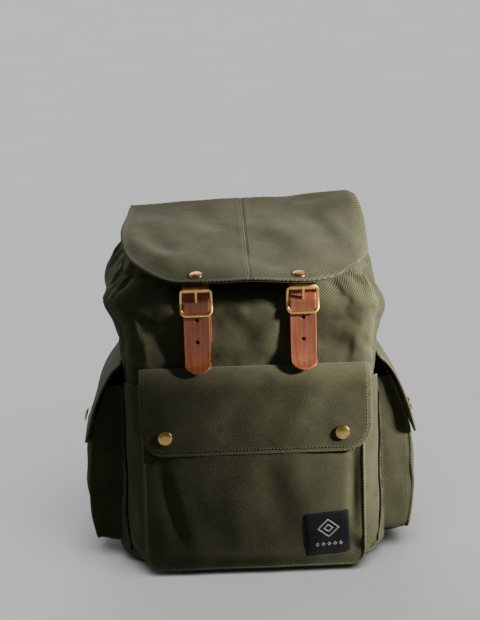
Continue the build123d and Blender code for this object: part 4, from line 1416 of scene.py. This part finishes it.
def roller_tube(x0):
    """A rolled brass tube, with its closing seam as a shallow groove."""
    turns = 40
    axis_y, axis_z = BAR_Y - FRAME_BOW, BAR_Z + FRAME_Z
    section = ((1.7, -13.7), (3.3, -13.7), (3.6, -13.3), (3.6, 0), (3.6, 13.3), (3.3, 13.7), (1.7, 13.7))
    verts, faces = lathe(section, (x0, axis_y, axis_z), (1, 0, 0), turns)
    faces = faces[:-2]
    last = (len(section) - 1) * turns
    for k in range(turns):
        n = (k + 1) % turns
        faces.append([n, k, last + k, last + n])
    y, z = verts[:, 1] - axis_y, verts[:, 2] - axis_z
    in_seam = (np.abs(np.arctan2(z, -y) + 1.1) < 0.09) * (np.hypot(y, z) > 3)
    verts[:, 1] = axis_y + y * (1 - 0.09 * in_seam)
    verts[:, 2] = axis_z + z * (1 - 0.09 * in_seam)
    return verts, faces


def buckle(side, x0):
    """Bowed wire frame with its middle bar, the roller, and the prong with its eye."""
    outline = []
    corners = ((-1, -1, math.pi), (1, -1, 1.5 * math.pi), (1, 1, 0), (-1, 1, math.pi / 2))
    for sx, sz, first in corners:
        a = first + np.linspace(0, math.pi / 2, 7)
        cx, cz = sx * (FRAME_X - FRAME_R), sz * (FRAME_Z - FRAME_R)
        outline.append(np.stack([cx + FRAME_R * np.cos(a), cz + FRAME_R * np.sin(a)], 1))
    outline = even_path(np.vstack(outline), 1.2, True)
    bow = FRAME_BOW * (np.clip(outline[:, 1], -FRAME_Z, FRAME_Z) / FRAME_Z) ** 2
    wire = np.stack([x0 + outline[:, 0], BAR_Y - bow, BAR_Z + outline[:, 1]], 1)
    bar = np.array([[x0 + t, BAR_Y, BAR_Z] for t in np.linspace(-FRAME_X, FRAME_X, 12)])
    pin = even_path(round_path(at_bar(
        (-2.4, -1.4), (-4.6, 2.5), (-7.8, 8), (-10.1, 13.6), (-9.9, 17.0), (-8.6, 18.6)), 3), 0.8)
    count = len(pin)
    pin = grid(x0, pin[:, 0], pin[:, 1])
    pin_radius = np.interp(np.arange(count), [0, count - 4, count - 1], [1.45, 1.3, 0.8])
    a = np.linspace(0, math.tau, 25)[:-1]
    eye = grid(x0, BAR_Y + 2.35 * np.cos(a), BAR_Z + 2.35 * np.sin(a))
    for ob, body, replaced in (
        (sweep(side + "_buckle_frame", wire, 1.85, 14, True), "_buckle", [side + "_buckle_frame"]),
        (sweep(side + "_buckle_bar", bar, 1.5, 12), "_buckle", []),
        (joined(side + "_buckle_roller", [roller_tube(x0)]), "_roller", [side + "_buckle_roller"]),
        (sweep(side + "_buckle_prong", pin, pin_radius, 12), "_prong", [side + "_buckle_prong"]),
        (sweep(side + "_prong_eye", eye, 0.8, 10, True), "_prong", []),
    ):
        finish_piece(ob, BRASS, side + body, replaced)


for sign, side in BOTH_SIDES:
    closing_strap(side, sign, sign * STRAP_X)
    buckle_tab(side, sign, sign * STRAP_X)
    buckle(side, sign * STRAP_X)

# ---------------------------------------------------------------- back band, yoke, handle and shoulder straps
back_thread = Stitches()


def back_strip(name, half, low, high, y, thick, seed, inset=2.4):
    """A flat strip sewn on the back along its top and bottom."""
    v = np.linspace(low, high, max(6, int((high - low) / 2)))
    panel = Panel(v, np.full(len(v), half), -1, 1, 90)
    lift = 0.35 * ripple(panel.X, panel.V, 46, seed) + 0.5 * np.sin(math.pi * (panel.V - low) / (high - low))
    P = grid(-panel.X, y + thick + lift, panel.V)
    panel.lay(P)
    edge = np.minimum(np.minimum(panel.V - low, high - panel.V), half - np.abs(panel.X))
    ob = slab(name, P, thick, panel.flat(), np.exp(-edge / 2.0) * 0.8)
    finish_piece(ob, CANVAS, "bag", [name])
    for level in (low + inset, high - inset):
        x = np.linspace(-half + 2, half - 2, 100)
        back_thread.sew(*panel.at(x, np.full(100, level)))


BACK_Y = 86.2
back_strip("strap_yoke", 106, 334, 360, BACK_Y, 2.2, 81)
back_strip("back_top_band", 128, 362, 386.5, BACK_Y, 1.8, 82)


HANDLE_TILT = math.radians(30)


def handle_line():
    """The hanging handle's middle line: two legs and a rounded loop, tilted off the back."""
    half, low, r = 27, -35.8, 20.0
    a = np.linspace(0, math.pi / 2, 10)
    pts = [(-half, -2.8), (-half, -11.8)]
    pts += [(-half + r - r * math.cos(t), low + r - r * math.sin(t)) for t in a]
    pts += [(half - r + r * math.sin(t), low + r - r * math.cos(t)) for t in a]
    pts += [(half, -11.8), (half, -2.8)]
    pts = even_path(round_path(pts, 1), 1.6)
    along = pts[:, 1]
    return np.stack([pts[:, 0], 94.2 - along * math.sin(HANDLE_TILT), 361 + along * math.cos(HANDLE_TILT)], 1)


line = handle_line()
s = np.arange(len(line))
ob = sweep("grab_handle", line, 4.2 + 0.14 * np.sin(s * 0.9) + 0.1 * np.sin(s * 2.3), 20, wear=0.15)
finish_piece(ob, CANVAS, "grab_handle", ["grab_handle"])
handle_thread = Stitches()
T = unit(np.gradient(line, axis=0))
outward = np.array([0.0, math.cos(HANDLE_TILT), math.sin(HANDLE_TILT)])
side_dir = unit(np.cross(T, outward))
side_n = unit(np.cross(side_dir, T))
tilt = unit(side_n * 0.8 + side_dir * 0.6)
handle_thread.sew(line[4:-4] + tilt[4:-4] * 4.1, tilt[4:-4])
handle_thread.build("grab_handle_stitching", "grab_handle")
anchor_line = [(88.6, 354.5), (90.5, 356.2), (95.5, 356.2), (98.8, 358.6), (99.4, 361.2), (98.4, 364.2)]
anchor_line = round_path(anchor_line + [(95.4, 366), (90.5, 366), (88.6, 367.6)], 3)
for name, x0, replaced in (("handle_anchors", -27.0, ["handle_anchors"]), ("handle_anchor_right", 27.0, [])):
    P, flat, wear = face_y(1, *strap_grid(anchor_line, 7.0, x0, 1.0, 9, 0.1))
    finish_piece(slab(name, P, 0.9, flat, wear), CANVAS, "bag", replaced)

SPLAY = math.radians(5)
STRAP_TOP_X, STRAP_TOP_Z = 70, 349  # where a shoulder strap is sewn in, and turns out by SPLAY
PAD_END_Y, PAD_END_Z = 109, 176
PAD_WIDE, PAD_NARROW = 30, 25  # half widths for the pad's stitch rows, top and bottom


WEB_HALF = 12.3
TAB_X, TAB_LOW = 118, 19  # the tab over the webbing's foot


def splay(P, sign):
    x, z = P[..., 0], P[..., 2] - STRAP_TOP_Z
    out = STRAP_TOP_X + x * math.cos(SPLAY) - z * math.sin(SPLAY)
    return np.stack([sign * out, P[..., 1], STRAP_TOP_Z + z * math.cos(SPLAY) + x * math.sin(SPLAY)], -1)


PAD_ROWS, PAD_AROUND = 64, 44
pad_z = np.array([346.0, 326, 300, 262, 224, 196, PAD_END_Z])
pad_y = np.array([91.5, 104.2, 113.6, 118, 117.3, 113.6, PAD_END_Y])
s = np.linspace(0, 1, PAD_ROWS)
pad_line = resample(even_path(round_path(np.stack([pad_y, pad_z], 1), 2), 1.0), PAD_ROWS)
pad_n = line_normals(pad_line)
pad_n = pad_n * np.sign(pad_n[:, :1])
phi = np.arange(PAD_AROUND) / PAD_AROUND * math.tau
half = np.interp(s, [0, 0.06, 0.94, 1], [27.5, 29.5, 25.5, 22.5])
thick = np.interp(s, [0, 0.07, 0.92, 1], [2.2, 4.4, 4.4, 2.0])
across = np.sign(np.cos(phi)) * np.abs(np.cos(phi)) ** 0.75
depth = np.sign(np.sin(phi)) * np.abs(np.sin(phi)) ** 0.8
off = 5.5 + depth[:, None] * thick[None]
pad = np.stack([across[:, None] * half] + [pad_line[:, k] + pad_n[:, k] * off for k in (0, 1)], -1)
pad_pins = np.zeros(pad.shape[:2])
pad_pins[:, 0] = pad_pins[:, -1] = 1
pad_pins[np.abs(np.cos(phi)) > 0.985] = 1
if (grid_normals(pad, True) * (pad - pad.mean(0, keepdims=True))).sum() < 0:
    pad = pad[::-1]
    pad_pins = pad_pins[::-1]
pad = settle(pad, pad_pins, pressure=5.0, grow=0.03, bend=0.3, steps=18, cap=2.2)
pad = refine(pad, 2, True)
pad_place = pad[..., 0] / np.linspace(PAD_WIDE, PAD_NARROW, pad.shape[1])
groove = -1.0 * hump(np.abs(pad_place), 0.8, 0.05)
rib = 0.35 * ripple(pad[..., 0], pad[..., 2], 26, 91)
pad = pad + grid_normals(pad, True) * (groove + rib)[..., None]
pad_edge = np.clip((np.abs(pad_place) - 0.9) * 9, 0, 1)
pad_place = pad[..., 0] / np.linspace(PAD_WIDE, PAD_NARROW, pad.shape[1])
for sign, side in BOTH_SIDES:
    P = splay(pad, sign)
    if sign < 0:
        P = P[::-1]
    idx = np.arange(P[..., 0].size).reshape(P.shape[:2])
    faces = quads_of(idx, True).tolist() + [idx[::-1, 0].tolist(), idx[:, -1].tolist()]
    flat = grid(pad[..., 0], pad[..., 2])
    ob = add_mesh(side + "_shoulder_pad", P.reshape(-1, 3), faces, flat.reshape(-1, 2), pad_edge.ravel() * 0.6)
    finish_piece(ob, CANVAS, side + "_shoulder_strap", [side + "_shoulder_pad"])
    thread = Stitches()
    N = grid_normals(P, True)
    place = pad_place if sign > 0 else pad_place[::-1]
    for target in (-0.8, 0.8):
        for face in (1, -1):
            j = np.arange(4, P.shape[1] - 4)
            i = np.argmin(np.where(N[..., 1] * face > 0, np.abs(place - target), 9), 0)[j]
            line = soften(P[i, j][:, None].repeat(2, 1), 3)[:, 0]
            thread.sew(line, N[i, j], lift=0.0)
    thread.build(side + "_shoulder_stitching", side + "_shoulder_strap")

    # Webbing loop from the pad's end round the adjuster
    ay, az = PAD_END_Y + 5.5, PAD_END_Z - 10
    ring = [(ay - 0.9, 178.5), (ay - 1.9, 171), (ay - 2.6, az)]
    ring += [(ay + 2.6 * math.cos(t), az + 2.6 * math.sin(t))
        for t in np.linspace(math.pi * 1.15, math.pi * 1.85, 6)]
    ring += [(ay + 2.6, az), (ay + 1.9, 171), (ay + 0.9, 178.5)]
    P, flat, wear = strap_grid(round_path(ring, 2), 12.5, 0.0, 0.9, 13, 0.0)
    P = splay(P, sign)
    ob = slab(side + "_strap_end_loop", P if sign > 0 else P[::-1], 0.9, flat, wear)
    finish_piece(ob, WEBBING, side + "_shoulder_strap", [side + "_strap_end_loop"])

    # Lower webbing, from the base tab to the adjuster
    start = np.array([122.0, 89.6, 42.0])
    stop = splay(np.array([0.0, ay, PAD_END_Z - 39.5]), 1)
    t = np.linspace(0, 1, 60)
    direction = unit(stop - start)
    across = unit(np.array([direction[2], 0, -direction[0]]))
    facing = np.cross(across, direction)
    facing = facing * np.sign(facing[1])
    sag = 0.7 * np.sin(math.pi * t) ** 2
    line = start + (stop - start) * t[:, None] - facing * sag[:, None]
    w = np.linspace(-WEB_HALF, WEB_HALF, 13)
    rib = 0.12 * np.cos(w * math.tau / 3.1)
    P = line[None] + across * w[:, None, None] + facing * (0.8 + rib)[:, None, None]
    P[..., 0] *= sign
    flat = grid(w[:, None], (t * 100)[None])
    P, flat = face_y(1, P, flat)
    wear = np.broadcast_to((np.abs(w) / WEB_HALF)[:, None] ** 8, P.shape[:2])
    ob = slab(side + "_lower_webbing", P, 1.6, flat, wear, rows=2)
    finish_piece(ob, WEBBING, None, [side + "_lower_webbing"])
    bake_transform(ob)

    # Tab sewn over the webbing's foot
    v = np.linspace(TAB_LOW, 53, 18)
    half = np.interp(v, [TAB_LOW, 44.5, 53], [17, 17, 4])
    panel = Panel(v, half, -1, 1, 20)
    P = np.stack([TAB_X + panel.X, 90.6 + 0.4 * ripple(panel.X, panel.V, 20, 95), panel.V], -1)
    P[..., 0] *= sign
    (P,) = face_y(1, P)
    gap = np.minimum(panel.half[None] - np.abs(panel.X), panel.V - TAB_LOW)
    ob = slab(side + "_lower_strap_tab", P, 2.6, panel.flat(), np.exp(-np.maximum(gap, 0) / 2))
    finish_piece(ob, CANVAS, "bag", [side + "_lower_strap_tab"])
    tri = np.array([(-13.5, 22), (13.5, 22), (13.5, 43), (0, 48.5), (-13.5, 43), (-13.5, 22)])
    tri = even_path(tri, 2)
    place = np.stack([sign * (TAB_X + tri[:, 0]), np.full(len(tri), 90.7), tri[:, 1]], 1)
    back_thread.sew(place, np.broadcast_to([0.0, 1.0, 0.0], place.shape), lift=0.3)

back_thread.build("back_stitching", "bag")
bag_thread.build("bag_stitching", "bag")


# ---------------------------------------------------------------- stage, light and camera
def stage_floor(reach=14000, count=30):
    """A flat sheet of pale paper. It reflects no light on the bag, so that the shaded side stays dark."""
    side = np.linspace(-reach, reach, count)
    P = grid(side[:, None], side[None], 0.0)
    idx = np.arange(count**2).reshape(count, count)
    ob = add_mesh("studio_floor", P.reshape(-1, 3), quads_of(idx), P[..., :2].reshape(-1, 2),
        np.zeros(count**2))
    g = Graph("studio_paper")
    cloud = g.noise(g.place(), 3.0, 2.0)
    tone = g.mix(g.span(cloud, 0.3, 0.7), (0.72, 0.72, 0.715, 1), (0.75, 0.75, 0.745, 1))
    ob.data.materials.append(g.finish(tone, 0.95, g.noise(g.place(), 400.0), 0.03, 0.0002))
    ob.visible_diffuse = False


stage_floor()


def sun(name, azimuth, elevation, strength, angle):
    """A broad light; the azimuth is 0 in front of the bag and 90 on its right."""
    light = bpy.data.lights.new(name, "SUN")
    light.energy, light.angle = strength, math.radians(angle)
    ob = bpy.data.objects.new(name, light)
    scene.collection.objects.link(ob)
    a, e = math.radians(azimuth), math.radians(elevation)
    toward = Vector((math.sin(a) * math.cos(e), -math.cos(a) * math.cos(e), math.sin(e)))
    ob.rotation_euler = toward.to_track_quat("Z", "Y").to_euler()
    return ob


def spot(name, place, aim, cone, radius, power, colour):
    light = bpy.data.lights.new(name, "SPOT")
    light.spot_size, light.spot_blend = math.radians(cone), 1.0
    light.shadow_soft_size, light.energy, light.color = radius, power, colour
    ob = bpy.data.objects.new(name, light)
    scene.collection.objects.link(ob)
    ob.location = place
    ob.rotation_euler = (Vector(place) - Vector(aim)).to_track_quat("Z", "Y").to_euler()
    return ob


def only_for(light, object_name, state, role="receiver_collection"):
    """Links one object to a light, or keeps it out: what it lights, or what blocks it."""
    group = bpy.data.collections.new(light.name + "_" + role)
    group.objects.link(bpy.data.objects[object_name])
    setattr(light.light_linking, role, group)
    group.collection_objects[0].light_linking.link_state = state


def flag_card(light_at, middle, reach, edge):
    """A black card between the main light and the bag's left half, as photographers use."""
    beam = Vector(light_at) - Vector(middle)
    toward = beam.normalized()
    back = Vector((-toward.y, toward.x, 0.0)).normalized()
    up = toward.cross(back)
    centre = Vector(middle) + toward * reach
    centre += back * (edge - centre.dot(back))
    wide, tall = 0.6, 0.7
    corners = [centre + up * h + back * b for b, h in ((0, -tall), (0, tall), (-wide, tall), (-wide, -tall))]
    ob = add_mesh("flag_card", np.array([list(c) for c in corners]) / MM, [[0, 1, 2, 3]], None, np.zeros(4))
    g = Graph("black_card")
    weave = g.noise(g.place(), 40.0, 2.0)
    ob.data.materials.append(g.finish(g.mix(weave, (0.01, 0.01, 0.01, 1), (0.02, 0.02, 0.02, 1)), 0.9, weave,
        0.05, 0.0002))
    for kind in ("camera", "diffuse", "glossy", "transmission"):
        setattr(ob, "visible_" + kind, False)


# The main light is a soft-edged spot from the right, with a card that keeps it off the front's left side.
KEY_AT = (1.5, -0.62, 0.92)
flag_card(KEY_AT, (0.0, -0.1, 0.22), 0.5, -0.106)
key = spot("key", KEY_AT, (0.17, -0.09, 0.26), 25, 0.13, 268.0, (1.0, 0.985, 0.95))
only_for(key, "studio_floor", "EXCLUDE")
overhead = sun("floor", 20, 60, 2.2, 60)
only_for(overhead, "studio_floor", "INCLUDE")
others = (
    overhead, sun("room", 150, 52, 0.2, 35), sun("fill", -25, 30, 0.08, 70),
    sun("rear", 186, 20, 1.5, 50), sun("left", 255, 22, 0.28, 50),
)
for light in others:
    only_for(light, "flag_card", "EXCLUDE", "blocker_collection")
# The room gives a little light, and the camera sees it in the floor's tone
world = bpy.data.worlds.new("studio")
scene.world = world
world.use_nodes = True
tree = world.node_tree
plain = tree.nodes["Background"]
plain.inputs[0].default_value = (0.95, 0.98, 1.0, 1)
plain.inputs[1].default_value = 0.035
seen = tree.nodes.new("ShaderNodeBackground")
seen.inputs[0].default_value = (0.66, 0.66, 0.66, 1)
path_kind = tree.nodes.new("ShaderNodeLightPath")
either = tree.nodes.new("ShaderNodeMixShader")
tree.links.new(path_kind.outputs["Is Camera Ray"], either.inputs[0])
tree.links.new(plain.outputs[0], either.inputs[1])
tree.links.new(seen.outputs[0], either.inputs[2])
tree.links.new(either.outputs[0], tree.nodes["World Output"].inputs[0])

AZ, EL, ROLL, FIELD = (math.radians(a) for a in (-2.16, 13.62, 1.42, 19.47))
DISTANCE = 2.07
TARGET = Vector((-8.0, -20.0, 281.2)) * MM
backward = Vector((math.sin(AZ) * math.cos(EL), -math.cos(AZ) * math.cos(EL), math.sin(EL)))
across = Vector((math.cos(AZ), math.sin(AZ), 0.0))
upward = across.cross(-backward)
cam_x = across * math.cos(ROLL) - upward * math.sin(ROLL)
cam_y = across * math.sin(ROLL) + upward * math.cos(ROLL)
camera = bpy.data.objects.new("camera", bpy.data.cameras.new("camera"))
scene.collection.objects.link(camera)
turned = Matrix((cam_x, cam_y, backward)).transposed().to_4x4()
camera.matrix_world = Matrix.Translation(TARGET + backward * DISTANCE) @ turned
camera.data.sensor_fit = "VERTICAL"
camera.data.angle = FIELD
camera.data.clip_end = 50
scene.camera = camera
